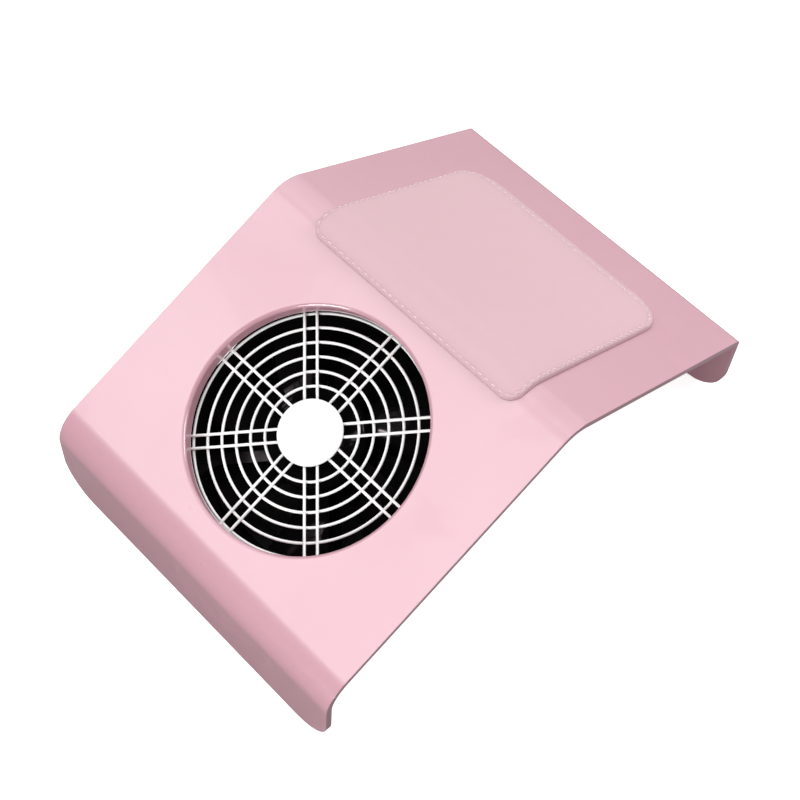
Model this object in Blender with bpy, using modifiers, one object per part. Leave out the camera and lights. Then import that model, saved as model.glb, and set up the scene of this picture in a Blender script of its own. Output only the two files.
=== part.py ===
"""Desktop nail dust collector: a bent plastic shell on two legs, a guarded fan in
the front panel, a padded hand rest over the apex and a cloth bag on the outlet.

World frame: metres, +Z up, front (fan end) faces -Y, origin at the bottom centre
of the whole object's bounding box, on the table. The panel axes have +Z along the
fan axis, pointing out of the front panel, and their origin on the panel's top
surface. The stack axes are the same, a little lower; guard, fan, motor and bag
mouth hang in them. All sizes below are in millimetres unless a name says otherwise.
"""
import bpy
import bmesh
import math
from math import sin, cos, tan, radians, pi
from mathutils import Matrix, Vector

MM = 0.001                    # metres per millimetre

# ---------------------------------------------------------------- shell sizes
HALF_WIDTH = 95.0
SHEET = 3.5                   # shell wall
FRONT_ANGLE = radians(24.1)   # front panel above horizontal
REAR_ANGLE = radians(25.9)    # rear panel below horizontal
FRONT_LENGTH = 161.8          # front fold to apex, along the panel
REAR_LENGTH = 151.4           # apex to rear fold, along the panel
FRONT_LEG = 49.8              # height of the front fold before rounding
FOLD_RADII = (20.0, 20.0, 5.0)      # outer radii: front fold, apex, rear fold
FOLD_STEPS = (9, 11, 5)
CORNER_FRONT, CORNER_REAR = 20.5, 21.0         # leg bottom corner radii
CORNER_STEPS = 5
EDGE_ROUND = 0.9

# ---------------------------------------------------------------- fan opening, panel axes
FAN_UP_PANEL = 80.8           # fan centre, up the front panel from the fold
HOLE_RADIUS = 58.5
RIM_RADIUS = 2.0              # rolled rim of the fan hole
COLLAR_WALL = 2.6             # the hole's collar hangs below the panel
COLLAR_BOTTOM = -8.0
BOSS_RADIUS = 4.6             # screw bosses under the panel
BOSS_BOTTOM = -7.9
JOIN_Z = -1.5                 # collar and bosses start inside the sheet
STACK_DROP = 4.35             # stack axes below the panel axes

# ---------------------------------------------------------------- fan, stack axes
FAN_TOP = -7.1                # top of the fan flange
FAN_HEIGHT = 38.0
FAN_BOTTOM = FAN_TOP - FAN_HEIGHT
FAN_HALF = 60.0
FAN_CORNER = 6.0
FLANGE = 4.2                  # flange thickness
SCREW_AT = 52.4               # half of the 104.8 mm hole spacing
SCREW_RADIUS = 1.6
SCREW_PLACES = (
    ("1", SCREW_AT, -SCREW_AT),
    ("2", SCREW_AT, SCREW_AT),
    ("3", -SCREW_AT, SCREW_AT),
    ("4", -SCREW_AT, -SCREW_AT),
)
HUB_RADIUS = 25.0
HUB_WALL = 1.8
HUB_TOP = -10.0
HUB_BOTTOM = -35.5
BEARING_TUBE_TOP = -17.5
SHAFT_RADIUS = 1.5

# ---------------------------------------------------------------- axes and colours
WORLD = Matrix.Identity(4)


def shift(x=0.0, y=0.0, z=0.0):
    """Translation matrix of a move in mm."""
    return Matrix.Translation((x * MM, y * MM, z * MM))


SPAN = FRONT_LENGTH * cos(FRONT_ANGLE) + REAR_LENGTH * cos(REAR_ANGLE)
REAR_PROUD = 3.97             # the rocker stands this far behind the rear leg
FRONT_Y = -(SPAN + REAR_PROUD) / 2

# (y, z) corners of the shell's outer surface before rounding
FRONT_FOOT = (FRONT_Y, 0.0)
FRONT_FOLD = (FRONT_Y, FRONT_LEG)
APEX = (FRONT_FOLD[0] + FRONT_LENGTH * cos(FRONT_ANGLE),
        FRONT_FOLD[1] + FRONT_LENGTH * sin(FRONT_ANGLE))
REAR_FOLD = (APEX[0] + REAR_LENGTH * cos(REAR_ANGLE),
             APEX[1] - REAR_LENGTH * sin(REAR_ANGLE))
REAR_FOOT = (REAR_FOLD[0], 0.0)
LEG_Y = REAR_FOOT[0]          # outer face of the rear leg

PANEL_AXES = shift(
    y=FRONT_FOLD[0] + FAN_UP_PANEL * cos(FRONT_ANGLE),
    z=FRONT_FOLD[1] + FAN_UP_PANEL * sin(FRONT_ANGLE),
) @ Matrix.Rotation(FRONT_ANGLE, 4, 'X')
STACK_AXES = PANEL_AXES @ shift(z=-STACK_DROP)

PINK = (0.86, 0.60, 0.66)
LEATHER_PINK = (0.82, 0.60, 0.65)
BLACK = (0.015, 0.015, 0.018)
WHITE = (0.9, 0.9, 0.9)
STEEL = (0.55, 0.55, 0.57)
BOARD_BROWN = (0.16, 0.13, 0.12)
FOAM_CREAM = (0.82, 0.80, 0.74)
THREAD_WHITE = (0.88, 0.82, 0.83)
MAGNET_GREY = (0.10, 0.10, 0.11)
CORE_GREY = (0.32, 0.32, 0.34)
COPPER = (0.62, 0.28, 0.12)
BOARD_GREEN = (0.02, 0.16, 0.07)
ROCKER_RED = (0.55, 0.02, 0.02)
WIRE_RED = (0.6, 0.03, 0.02)
BRASS = (0.75, 0.58, 0.30)
CLIP_WHITE = (0.85, 0.85, 0.83)
CLOTH_WHITE = (0.80, 0.80, 0.79)
ELASTIC_BLACK = (0.03, 0.03, 0.03)

# ---------------------------------------------------------------- clean start
for old in list(bpy.data.objects):
    bpy.data.objects.remove(old, do_unlink=True)
for old in list(bpy.data.meshes):
    bpy.data.meshes.remove(old)
for old in list(bpy.data.curves):
    bpy.data.curves.remove(old)

scene = bpy.context.scene
PARTS = bpy.data.collections.new("nail_dust_collector")
CUTTERS = bpy.data.collections.new("cutters")
scene.collection.children.link(PARTS)
scene.collection.children.link(CUTTERS)


# ---------------------------------------------------------------- materials
def material(name, rgb, roughness, metallic=0.0, coat=0.0):
    mat = bpy.data.materials.new(name)
    mat.use_nodes = True
    shader = mat.node_tree.nodes["Principled BSDF"]
    shader.inputs["Base Color"].default_value = (*rgb, 1)
    shader.inputs["Roughness"].default_value = roughness
    shader.inputs["Metallic"].default_value = metallic
    shader.inputs["Coat Weight"].default_value = coat
    mat.diffuse_color = (*rgb, 1)
    return mat


def steel(name, roughness):
    return material(name, STEEL, roughness=roughness, metallic=1.0)


# ---------------------------------------------------------------- object helpers
# A piece made without a material is a boolean helper and goes to the cutters.
def finish_object(piece, axes, mat):
    if mat is None:
        CUTTERS.objects.link(piece)
        piece.hide_render = True
        piece.display_type = 'WIRE'
    else:
        PARTS.objects.link(piece)
        piece.data.materials.append(mat)
    piece.matrix_world = axes
    return piece


def from_bmesh(name, mesh, axes=WORLD, mat=None, recalc=True):
    bmesh.ops.remove_doubles(mesh, verts=mesh.verts, dist=1e-6)
    if recalc:
        bmesh.ops.recalc_face_normals(mesh, faces=mesh.faces)
    data = bpy.data.meshes.new(name)
    mesh.to_mesh(data)
    mesh.free()
    return finish_object(bpy.data.objects.new(name, data), axes, mat)


def turned(name, profile, steps, axes=WORLD, mat=None):
    """Solid of revolution about local Z; profile is a list of (radius, z) running
    down the outer side. A profile that leaves the axis is closed on itself."""
    data = bpy.data.meshes.new(name)
    last = len(profile) - 1
    edges = [(i, i + 1) for i in range(last)]
    if profile[0][0] != 0 or profile[-1][0] != 0:
        edges.append((last, 0))
    data.from_pydata([Vector((radius * MM, 0, z * MM)) for radius, z in profile], edges, [])
    piece = bpy.data.objects.new(name, data)
    screw = piece.modifiers.new("turn", 'SCREW')
    screw.axis = 'Z'
    screw.angle = 2 * pi
    screw.steps = steps
    screw.render_steps = steps
    screw.use_merge_vertices = True
    screw.merge_threshold = 1e-6
    screw.use_smooth_shade = False
    screw.use_normal_calculate = False
    return finish_object(piece, axes, mat)


def ring(name, inner, outer, top, bottom, steps, axes, mat, chamfer=0.0):
    """Plain ring between two radii and two heights."""
    if chamfer:
        profile = [
            (outer - chamfer, top), (outer, top - chamfer),
            (outer, bottom + chamfer), (outer - chamfer, bottom),
            (inner + chamfer, bottom), (inner, bottom + chamfer),
            (inner, top - chamfer), (inner + chamfer, top),
        ]
    else:
        profile = [(outer, top), (outer, bottom), (inner, bottom), (inner, top)]
    return turned(name, profile, steps, axes, mat)


def disc(name, radius, top, bottom, steps, axes, mat=None, chamfer=0.0):
    """Cylinder between two heights, turned when its edges are chamfered."""
    if chamfer:
        profile = [(0, top), (radius - chamfer, top), (radius, top - chamfer),
                   (radius, bottom + chamfer), (radius - chamfer, bottom), (0, bottom)]
        return turned(name, profile, steps, axes, mat)
    mesh = bmesh.new()
    bmesh.ops.create_cone(
        mesh, cap_ends=True, cap_tris=False, segments=steps,
        radius1=radius * MM, radius2=radius * MM,
        depth=(top - bottom) * MM, matrix=shift(z=(top + bottom) / 2))
    return from_bmesh(name, mesh, axes, mat)


def box(name, low, high, axes=WORLD, mat=None):
    """Box between two opposite corners."""
    size = [(b - a) * MM for a, b in zip(low, high)]
    middle = [(a + b) / 2 * MM for a, b in zip(low, high)]
    mesh = bmesh.new()
    bmesh.ops.create_cube(
        mesh, size=1.0, matrix=Matrix.Translation(middle) @ Matrix.Diagonal((*size, 1.0)))
    return from_bmesh(name, mesh, axes, mat)


def poly_curve_object(name, points, dimensions, cyclic):
    """Temporary object holding a straight-segment curve through (x, y, z) points."""
    curve = bpy.data.curves.new(name + "_path", 'CURVE')
    curve.dimensions = dimensions
    curve.render_resolution_u = 0
    spline = curve.splines.new('POLY')
    spline.points.add(len(points) - 1)
    for target, (x, y, z) in zip(spline.points, points):
        target.co = (x * MM, y * MM, z * MM, 1)
    spline.use_cyclic_u = cyclic
    holder = bpy.data.objects.new(name + "_curve", curve)
    scene.collection.objects.link(holder)
    return holder


def curve_to_bmesh(holder, source):
    """Mesh of the source object as a bmesh; the temporary holder is removed."""
    data = bpy.data.meshes.new_from_object(source)
    bpy.data.objects.remove(holder, do_unlink=True)
    mesh = bmesh.new()
    mesh.from_mesh(data)
    bpy.data.meshes.remove(data)
    return mesh


def prism(name, outline, top, bottom, axes=WORLD, mat=None):
    """Filled outline [(x, y)] extruded between two heights along local Z."""
    holder = poly_curve_object(name, [(x, y, 0) for x, y in outline], '2D', True)
    holder.data.fill_mode = 'BOTH'
    holder.data.extrude = abs(top - bottom) / 2 * MM
    holder.matrix_world = axes @ shift(z=(top + bottom) / 2)
    bpy.context.view_layer.update()
    place = holder.matrix_world.copy()
    depsgraph = bpy.context.evaluated_depsgraph_get()
    mesh = curve_to_bmesh(holder, holder.evaluated_get(depsgraph))
    # keep the object's own origin on the axes it was asked for
    bmesh.ops.transform(mesh, matrix=axes.inverted() @ place, verts=mesh.verts)
    return from_bmesh(name, mesh, axes, mat)


def tube(name, points, radius, axes=WORLD, mat=None, cyclic=False):
    """Round tube through points, as a closed mesh."""
    holder = poly_curve_object(name, points, '3D', cyclic)
    holder.data.bevel_depth = radius * MM
    holder.data.bevel_resolution = 1
    holder.data.use_fill_caps = not cyclic
    bpy.context.view_layer.update()
    return from_bmesh(name, curve_to_bmesh(holder, holder), axes, mat)


def boolean(piece, helper, operation):
    modifier = piece.modifiers.new(operation.lower(), 'BOOLEAN')
    modifier.operation = operation
    modifier.solver = 'EXACT'
    modifier.object = helper


def join(piece, helper):
    boolean(piece, helper, 'UNION')


def cut(piece, helper):
    boolean(piece, helper, 'DIFFERENCE')


def bevel(piece, width, segments, min_angle):
    """Round the edges sharper than min_angle degrees."""
    modifier = piece.modifiers.new("round", 'BEVEL')
    modifier.width = width * MM
    modifier.segments = segments
    modifier.limit_method = 'ANGLE'
    modifier.angle_limit = radians(min_angle)
    modifier.harden_normals = False


# ---------------------------------------------------------------- geometry helpers
def rotated(x, y, angle):
    return (x * cos(angle) - y * sin(angle), x * sin(angle) + y * cos(angle))


def rounded_rect(half_x, half_y, radius, steps):
    points = []
    for k, (side_x, side_y) in enumerate(((1, -1), (1, 1), (-1, 1), (-1, -1))):
        for i in range(steps + 1):
            angle = radians(-90 + 90 * k + 90 * i / steps)
            points.append((side_x * (half_x - radius) + radius * cos(angle),
                           side_y * (half_y - radius) + radius * sin(angle)))
    return points


def band(mesh, first, second):
    """Quads joining two closed rows of vertices all the way round."""
    count = len(first)
    for i in range(count):
        j = (i + 1) % count
        mesh.faces.new((first[i], first[j], second[j], second[i]))


def stack_to_world(x, y, z):
    """World point, in mm, of a point in the stack axes."""
    return tuple(c / MM for c in (STACK_AXES @ Vector((x * MM, y * MM, z * MM))))


def screw_axes(axes):
    """(tag, axes) at each of the four fan screws."""
    return [(tag, axes @ shift(x, y)) for tag, x, y in SCREW_PLACES]


# ---------------------------------------------------------------- shell profile
def fillet_profile(corners, radii, steps):
    """2D polyline with each inner corner replaced by an arc."""
    points = [Vector(corners[0])]
    for i, (radius, count) in enumerate(zip(radii, steps), start=1):
        before, corner, after = (Vector(c) for c in corners[i - 1:i + 2])
        back = (before - corner).normalized()
        ahead = (after - corner).normalized()
        angle = back.angle(ahead)
        tangent = radius / tan(angle / 2)
        centre = corner + (back + ahead).normalized() * (radius / sin(angle / 2))
        start = corner + back * tangent - centre
        end = corner + ahead * tangent - centre
        start_angle = math.atan2(start.y, start.x)
        sweep = (math.atan2(end.y, end.x) - start_angle + pi) % (2 * pi) - pi
        for k in range(count + 1):
            turn = start_angle + sweep * k / count
            points.append(centre + Vector((cos(turn), sin(turn))) * radius)
    points.append(Vector(corners[-1]))
    return points


PROFILE = fillet_profile(
    [FRONT_FOOT, FRONT_FOLD, APEX, REAR_FOLD, REAR_FOOT], FOLD_RADII, FOLD_STEPS)
ARC = [0.0]                   # arc length at each profile point, from the front foot
for begin, finish in zip(PROFILE, PROFILE[1:]):
    ARC.append(ARC[-1] + (finish - begin).length)
TOTAL = ARC[-1]

FRONT_FOLD_END = 1 + FOLD_STEPS[0]                 # index of the fold's last point
APEX_END = FRONT_FOLD_END + 1 + FOLD_STEPS[1]
FRONT_TANGENT = FOLD_RADII[0] * tan((pi / 2 - FRONT_ANGLE) / 2)
APEX_TANGENT = FOLD_RADII[1] * tan((FRONT_ANGLE + REAR_ANGLE) / 2)


def segment_normal(i):
    along = (PROFILE[i + 1] - PROFILE[i]).normalized()
    return Vector((-along.y, along.x))


def vertex_normal(i):
    """Outward mitre vector at a profile point."""
    if i == 0:
        return segment_normal(0)
    if i == len(PROFILE) - 1:
        return segment_normal(i - 1)
    before = segment_normal(i - 1)
    mitre = (before + segment_normal(i)).normalized()
    return mitre / max(0.5, mitre.dot(before))


def lifted(arc, height):
    """World (y, z) of a point above the outer surface at an arc length, in mm."""
    arc = min(max(arc, 0.0), TOTAL)
    i = next(k for k in range(len(ARC) - 1) if arc <= ARC[k + 1] + 1e-9)
    share = (arc - ARC[i]) / (ARC[i + 1] - ARC[i])
    normal = vertex_normal(i).lerp(vertex_normal(i + 1), share)
    point = PROFILE[i].lerp(PROFILE[i + 1], share) + normal * height
    return point.x, point.y


# ---------------------------------------------------------------- switch and jack places
SWITCH_X, SWITCH_Z = -60.0, 24.0
SWITCH_HALF_X, SWITCH_HALF_Z = 9.4, 6.4        # housing
SWITCH_GAP = 0.3              # leg opening round the housing
JACK_X, JACK_Z = -28.0, 24.0


def leg_axes(x, z):
    """Axes on the rear leg's outer face, +Z pointing backwards out of it."""
    return shift(x, LEG_Y, z) @ Matrix.Rotation(-pi / 2, 4, 'X')


SWITCH_AXES = leg_axes(SWITCH_X, SWITCH_Z)
JACK_AXES = leg_axes(JACK_X, JACK_Z)


def switch_box(name, margin, inner, outer, mat=None):
    """Box centred on the switch, a margin larger than its housing, between two
    distances behind the rear leg's outer face."""
    half_x, half_z = SWITCH_HALF_X + margin, SWITCH_HALF_Z + margin
    return box(name, (SWITCH_X - half_x, LEG_Y + inner, SWITCH_Z - half_z),
               (SWITCH_X + half_x, LEG_Y + outer, SWITCH_Z + half_z), mat=mat)


# ---------------------------------------------------------------- shell
def half_width(arc):
    """Half width of the shell, narrowing round the leg bottom corners."""
    for radius, distance in ((CORNER_FRONT, arc), (CORNER_REAR, TOTAL - arc)):
        if distance < radius:
            return HALF_WIDTH - radius + math.sqrt(
                max(0.0, radius * radius - (radius - distance) ** 2))
    return HALF_WIDTH


def build_shell_sheet():
    """Open outer surface swept across the width, thickened inward."""
    stations = set(round(arc, 5) for arc in ARC)
    for k in range(1, CORNER_STEPS + 1):
        share = 1 - cos(radians(90 * k / CORNER_STEPS))
        stations.add(round(CORNER_FRONT * share, 5))
        stations.add(round(TOTAL - CORNER_REAR * share, 5))
    mesh = bmesh.new()
    rows = []
    for arc in sorted(stations):
        width = half_width(arc)
        y, z = lifted(arc, 0.0)
        rows.append([mesh.verts.new((x * MM, y * MM, z * MM)) for x in (-width, width)])
    for a, b in zip(rows, rows[1:]):
        mesh.faces.new((a[0], a[1], b[1], b[0]))
    gloss = material("shell_pink_gloss", PINK, roughness=0.25, coat=0.3)
    shell = from_bmesh("top_shell", mesh, mat=gloss, recalc=False)
    wall = shell.modifiers.new("wall", 'SOLIDIFY')
    wall.thickness = SHEET * MM
    wall.offset = -1
    wall.use_even_offset = True
    return shell


def build_shell():
    shell = build_shell_sheet()
    bevel(shell, EDGE_ROUND, segments=2, min_angle=62)

    # collar round the fan hole and screw bosses, all below the panel
    join(shell, disc("add_collar", HOLE_RADIUS + COLLAR_WALL, JOIN_Z, COLLAR_BOTTOM, 60,
                     PANEL_AXES))
    for tag, axes in screw_axes(PANEL_AXES):
        join(shell, disc("add_boss_" + tag, BOSS_RADIUS, JOIN_Z, BOSS_BOTTOM, 24, axes))

    # fan opening: shallow cone above, rolled rim, straight bore; (radius, z)
    opening = [(0, 4.0), (63.4, 4.0), (61.9, 0.35)]
    for degrees in (108, 132, 156, 180):
        angle = radians(degrees)
        opening.append((HOLE_RADIUS + RIM_RADIUS + RIM_RADIUS * cos(angle),
                        -RIM_RADIUS + RIM_RADIUS * sin(angle)))
    opening += [(HOLE_RADIUS, COLLAR_BOTTOM - 3.0), (0, COLLAR_BOTTOM - 3.0)]
    cut(shell, turned("cut_fan_opening", opening, 60, PANEL_AXES))

    # blind pilots for the fan screws, from below
    for tag, axes in screw_axes(STACK_AXES):
        cut(shell, disc("cut_pilot_" + tag, SCREW_RADIUS + 0.3, -1.0, -SHEET - 2.5, 16, axes))

    # switch and jack openings in the rear leg
    cut(shell, switch_box("cut_switch", SWITCH_GAP, -8, 5))
    cut(shell, disc("cut_jack", 4.3, 5.0, -9.0, 32, JACK_AXES))


# ---------------------------------------------------------------- hand-rest pad
PAD_HALF = 66.4
PAD_UP_FRONT = 150.1          # front edge, up the front panel from the fold
PAD_DOWN_REAR = 120.3         # rear edge, down the rear panel from the apex
PAD_START = ARC[FRONT_FOLD_END] + PAD_UP_FRONT - FRONT_TANGENT
PAD_END = ARC[APEX_END] + PAD_DOWN_REAR - APEX_TANGENT
PAD_RADIUS_FRONT, PAD_RADIUS_REAR = 8.0, 20.0
PAD_RADIUS_MIN = 1.5
SEAM_FRONT, SEAM_SIDE, SEAM_REAR = 1.9, 1.7, 7.2      # stitched line, in from the edge
SEAM_RADIUS_FRONT, SEAM_RADIUS_REAR = 6.0, 14.0
SEAM_HEIGHT = 2.9             # leather height at the stitched line
THREAD_RADIUS = 0.35
THREAD_GAP = 0.45             # thread above the stitched line

# pad rows: (share of the way from edge to stitched line, extra inset, height)
BACKING_ROWS = [(0.45, 2.6, 0.4), (0.45, 2.6, 0.95)]
FOAM_ROWS = [(1.0, 1.6, 1.25), (1.2, 2.4, 2.4)]
COVER_OUTER = [(0.0, 0.0, 0.35), (0.5, 0.0, 1.7), (1.0, 0.0, SEAM_HEIGHT), (1.4, 0.0, 3.7)]
COVER_INNER = [(0.0, 1.2, 0.35), (0.5, 1.1, 1.0), (1.0, 1.0, 1.9), (1.4, 0.9, 2.75)]


def pad_half_outline(share, extra):
    """Right-hand half outline [(x, arc length)] of the pad, from front to rear."""
    half = PAD_HALF - share * SEAM_SIDE - extra
    start = PAD_START + share * SEAM_FRONT + extra
    end = PAD_END - share * SEAM_REAR - extra
    front = max(PAD_RADIUS_MIN, PAD_RADIUS_FRONT
                + (SEAM_RADIUS_FRONT - PAD_RADIUS_FRONT) * share - extra)
    rear = max(PAD_RADIUS_MIN, PAD_RADIUS_REAR
               + (SEAM_RADIUS_REAR - PAD_RADIUS_REAR) * share - extra)
    points = []
    for k in range(7):
        angle = radians(90 * k / 6)
        points.append((half - front + front * sin(angle), start + front - front * cos(angle)))
    side_end = ARC[APEX_END] + 2.0
    for k in range(1, 6):
        points.append((half, start + front + (side_end - start - front) * k / 5))
    for k in range(8):
        angle = radians(90 * k / 7)
        points.append((half - rear + rear * cos(angle), end - rear + rear * sin(angle)))
    return points


def pad_points(share, extra, height):
    """Closed pad outline at a height above the shell: right side, then left side back."""
    right = [(x, *lifted(arc, height)) for x, arc in pad_half_outline(share, extra)]
    return right + [(-x, y, z) for x, y, z in reversed(right)]


def loft_pad(mesh, rows):
    """Sides through the given rows; returns the vertex loops."""
    loops = [[mesh.verts.new((x * MM, y * MM, z * MM)) for x, y, z in pad_points(*row)]
             for row in rows]
    for lower, upper in zip(loops, loops[1:]):
        band(mesh, lower, upper)
    return loops


def fill_pad(mesh, loop):
    """Strips across the pad that follow the bend."""
    for i in range(len(loop) // 2 - 1):
        mesh.faces.new((loop[i], loop[i + 1], loop[-2 - i], loop[-1 - i]))


def build_pad_slab(name, rows, mat):
    mesh = bmesh.new()
    loops = loft_pad(mesh, rows)
    fill_pad(mesh, loops[0])
    fill_pad(mesh, loops[-1])
    from_bmesh(name, mesh, mat=mat)


def build_pad_cover():
    """Leather cover: sloping skirt and flat top, open below."""
    mesh = bmesh.new()
    outer = loft_pad(mesh, COVER_OUTER)
    inner = loft_pad(mesh, COVER_INNER)
    fill_pad(mesh, outer[-1])
    fill_pad(mesh, inner[-1])
    band(mesh, outer[0], inner[0])
    from_bmesh("pad_cover", mesh,
               mat=material("pad_leather_pink", LEATHER_PINK, roughness=0.55))


def build_pad():
    build_pad_slab("pad_backing", BACKING_ROWS,
                   material("pad_backing_board", BOARD_BROWN, roughness=0.9))
    build_pad_slab("pad_foam", FOAM_ROWS,
                   material("pad_foam_white", FOAM_CREAM, roughness=0.95))
    build_pad_cover()
    tube("pad_thread", pad_points(1.0, 0.0, SEAM_HEIGHT + THREAD_GAP + THREAD_RADIUS),
         THREAD_RADIUS, mat=material("stitch_thread_white", THREAD_WHITE, roughness=0.7),
         cyclic=True)


# ---------------------------------------------------------------- finger guard
GUARD_WIRE = 0.78             # wire radius
RING_FIRST, RING_STEP, RING_COUNT = 22.8, 7.08, 6
HUB_RING = 12.5
GUARD_RING_Z = -6.05
GUARD_SPOKE_Z = -4.85
SPOKE_HALF_GAP = 3.1
SPOKE_START = 10.6
SPOKE_END = 59.9              # straight spokes, square end
EYELET_AT = 74.1              # eyelet centre of the diagonal spokes
EYELET_REACH = 3.25
BADGE_RADIUS = 16.1


def guard_ring(name, radius, segments, mat=None):
    """Wire ring about the fan axis."""
    bpy.ops.mesh.primitive_torus_add(
        major_segments=segments, minor_segments=6, major_radius=radius * MM,
        minor_radius=GUARD_WIRE * MM, location=(0, 0, 0), rotation=(0, 0, 0))
    piece = bpy.context.active_object
    for collection in list(piece.users_collection):
        collection.objects.unlink(piece)
    piece.name = name
    piece.data.name = name
    return finish_object(piece, STACK_AXES @ shift(z=GUARD_RING_Z), mat)


def spoke_outline(diagonal):
    """Hairpin (x, y) along +X; a diagonal one ends in an eyelet round a fan screw."""
    gap = SPOKE_HALF_GAP
    if not diagonal:
        return [(SPOKE_START, -gap), (SPOKE_END - 1.3, -gap), (SPOKE_END, -gap + 1.2),
                (SPOKE_END, gap - 1.2), (SPOKE_END - 1.3, gap), (SPOKE_START, gap)]
    points = [(SPOKE_START, -gap), (EYELET_AT - 2.5, -gap)]
    for i in range(1, 8):
        angle = radians(-90 + 180 * i / 8)
        points.append((EYELET_AT + EYELET_REACH * cos(angle), gap * sin(angle)))
    return points + [(EYELET_AT - 2.5, gap), (SPOKE_START, gap)]


def build_guard():
    guard = guard_ring("finger_guard", RING_FIRST + RING_STEP * (RING_COUNT - 1), 48,
                       material("guard_white_wire", WHITE, roughness=0.35))
    for k in range(RING_COUNT - 1):
        join(guard, guard_ring("add_ring_%d" % k, RING_FIRST + RING_STEP * k, 24 + 4 * k))
    join(guard, guard_ring("add_ring_hub", HUB_RING, 24))
    for k in range(8):
        points = [(*rotated(x, y, radians(45 * k)), GUARD_SPOKE_Z)
                  for x, y in spoke_outline(k % 2 == 1)]
        join(guard, tube("add_spoke_%d" % k, points, GUARD_WIRE, STACK_AXES))

    wire_top = GUARD_SPOKE_Z + GUARD_WIRE
    disc("guard_badge", BADGE_RADIUS, wire_top + 1.55, wire_top + 0.35, 40, STACK_AXES,
         material("badge_white", WHITE, roughness=0.3), chamfer=0.3)


# ---------------------------------------------------------------- fan frame
FAN_BORE = 57.5
FAN_WALL_RADIUS = 59.6
SCREW_PAD_RADIUS = 4.6
SCREW_HOLE_RADIUS = 2.15
PLATE_RADIUS = 22.0           # motor plate
PLATE_TOP = FAN_BOTTOM + 3.4
STRUT_HALF = 2.6
BEARING_TUBE_RADIUS = 5.6
# (radius, z): bearing seats above and below a narrower waist
BEARING_BORE = [
    (0, BEARING_TUBE_TOP + 2), (4.3, BEARING_TUBE_TOP + 2), (4.3, -23.0), (3.2, -23.0),
    (3.2, -34.0), (4.3, -34.0), (4.3, FAN_BOTTOM - 2), (0, FAN_BOTTOM - 2),
]


def build_fan_frame():
    square = rounded_rect(FAN_HALF, FAN_HALF, FAN_CORNER, 4)
    frame = prism("fan_frame", square, FAN_TOP, FAN_TOP - FLANGE, STACK_AXES,
                  material("fan_black_plastic", BLACK, roughness=0.3))
    join(frame, disc("add_fan_wall", FAN_WALL_RADIUS, FAN_TOP - 1.0, FAN_BOTTOM + 1.0, 48,
                     STACK_AXES))
    join(frame, prism("add_lower_flange", square, FAN_BOTTOM + FLANGE, FAN_BOTTOM,
                      STACK_AXES))
    for tag, axes in screw_axes(STACK_AXES):
        join(frame, disc("add_screw_pad_" + tag, SCREW_PAD_RADIUS, FAN_TOP + 1.15,
                         FAN_TOP - 1.0, 20, axes))
    cut(frame, disc("cut_fan_bore", FAN_BORE, FAN_TOP + 3, FAN_BOTTOM - 3, 56, STACK_AXES))
    for tag, axes in screw_axes(STACK_AXES):
        cut(frame, disc("cut_screw_hole_" + tag, SCREW_HOLE_RADIUS, FAN_TOP + 4,
                        FAN_BOTTOM - 4, 16, axes))

    # motor plate, struts and bearing tube on the outlet side
    join(frame, disc("add_motor_plate", PLATE_RADIUS, PLATE_TOP, FAN_BOTTOM, 40, STACK_AXES))
    for k in range(4):
        axes = STACK_AXES @ Matrix.Rotation(radians(45 + 90 * k), 4, 'Z')
        join(frame, box("add_strut_%d" % k, (18.0, -STRUT_HALF, FAN_BOTTOM),
                        (FAN_BORE + 1.2, STRUT_HALF, PLATE_TOP), axes))
    join(frame, disc("add_bearing_tube", BEARING_TUBE_RADIUS, BEARING_TUBE_TOP,
                     FAN_BOTTOM + 1.0, 28, STACK_AXES))
    cut(frame, turned("cut_bearing_bore", BEARING_BORE, 28, STACK_AXES))


def build_fan_screws():
    """Screws driven up through the upper flange, heads below it."""
    head = FAN_TOP - FLANGE - 0.3
    profile = [
        (0, -1.35), (SCREW_RADIUS - 0.5, -1.35), (SCREW_RADIUS, -2.1), (SCREW_RADIUS, head),
        (3.3, head), (3.3, head - 1.1), (2.5, head - 2.2), (0.9, head - 2.2),
        (0.7, head - 1.2), (0, head - 1.2),
    ]
    for tag, axes in screw_axes(STACK_AXES):
        zinc = steel("screw_zinc" if tag == "1" else "screw_zinc_" + tag, roughness=0.3)
        turned("fan_screw_" + tag, profile, 16, axes, zinc)


# ---------------------------------------------------------------- impeller
BLADE_TIP = 56.0
BLADES = 7
BLADE_SWEEP = 0.18            # radians the tip trails the root
BLADE_STEPS = 5               # chord steps on each face
# (radius, pitch in degrees, chord)
BLADE_STATIONS = [
    (HUB_RADIUS - 1.0, 42.0, 19.5),
    (32.0, 36.0, 23.5),
    (40.0, 31.0, 26.8),
    (48.0, 27.0, 29.0),
    (BLADE_TIP, 24.0, 30.5),
]
# (radius, z): outer skin down, then the inside up to the shaft socket
HUB_PROFILE = [
    (0, HUB_TOP), (HUB_RADIUS - 4.0, HUB_TOP), (HUB_RADIUS - 1.2, HUB_TOP - 1.2),
    (HUB_RADIUS, HUB_TOP - 4.0), (HUB_RADIUS, HUB_BOTTOM),
    (HUB_RADIUS - HUB_WALL, HUB_BOTTOM), (HUB_RADIUS - HUB_WALL, HUB_TOP - 4.2),
    (HUB_RADIUS - 4.2, HUB_TOP - 2.2), (4.2, HUB_TOP - 2.2), (4.2, HUB_TOP - 5.6),
    (1.85, HUB_TOP - 5.6), (1.85, HUB_TOP - 1.6), (0, HUB_TOP - 1.6),
]


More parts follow.
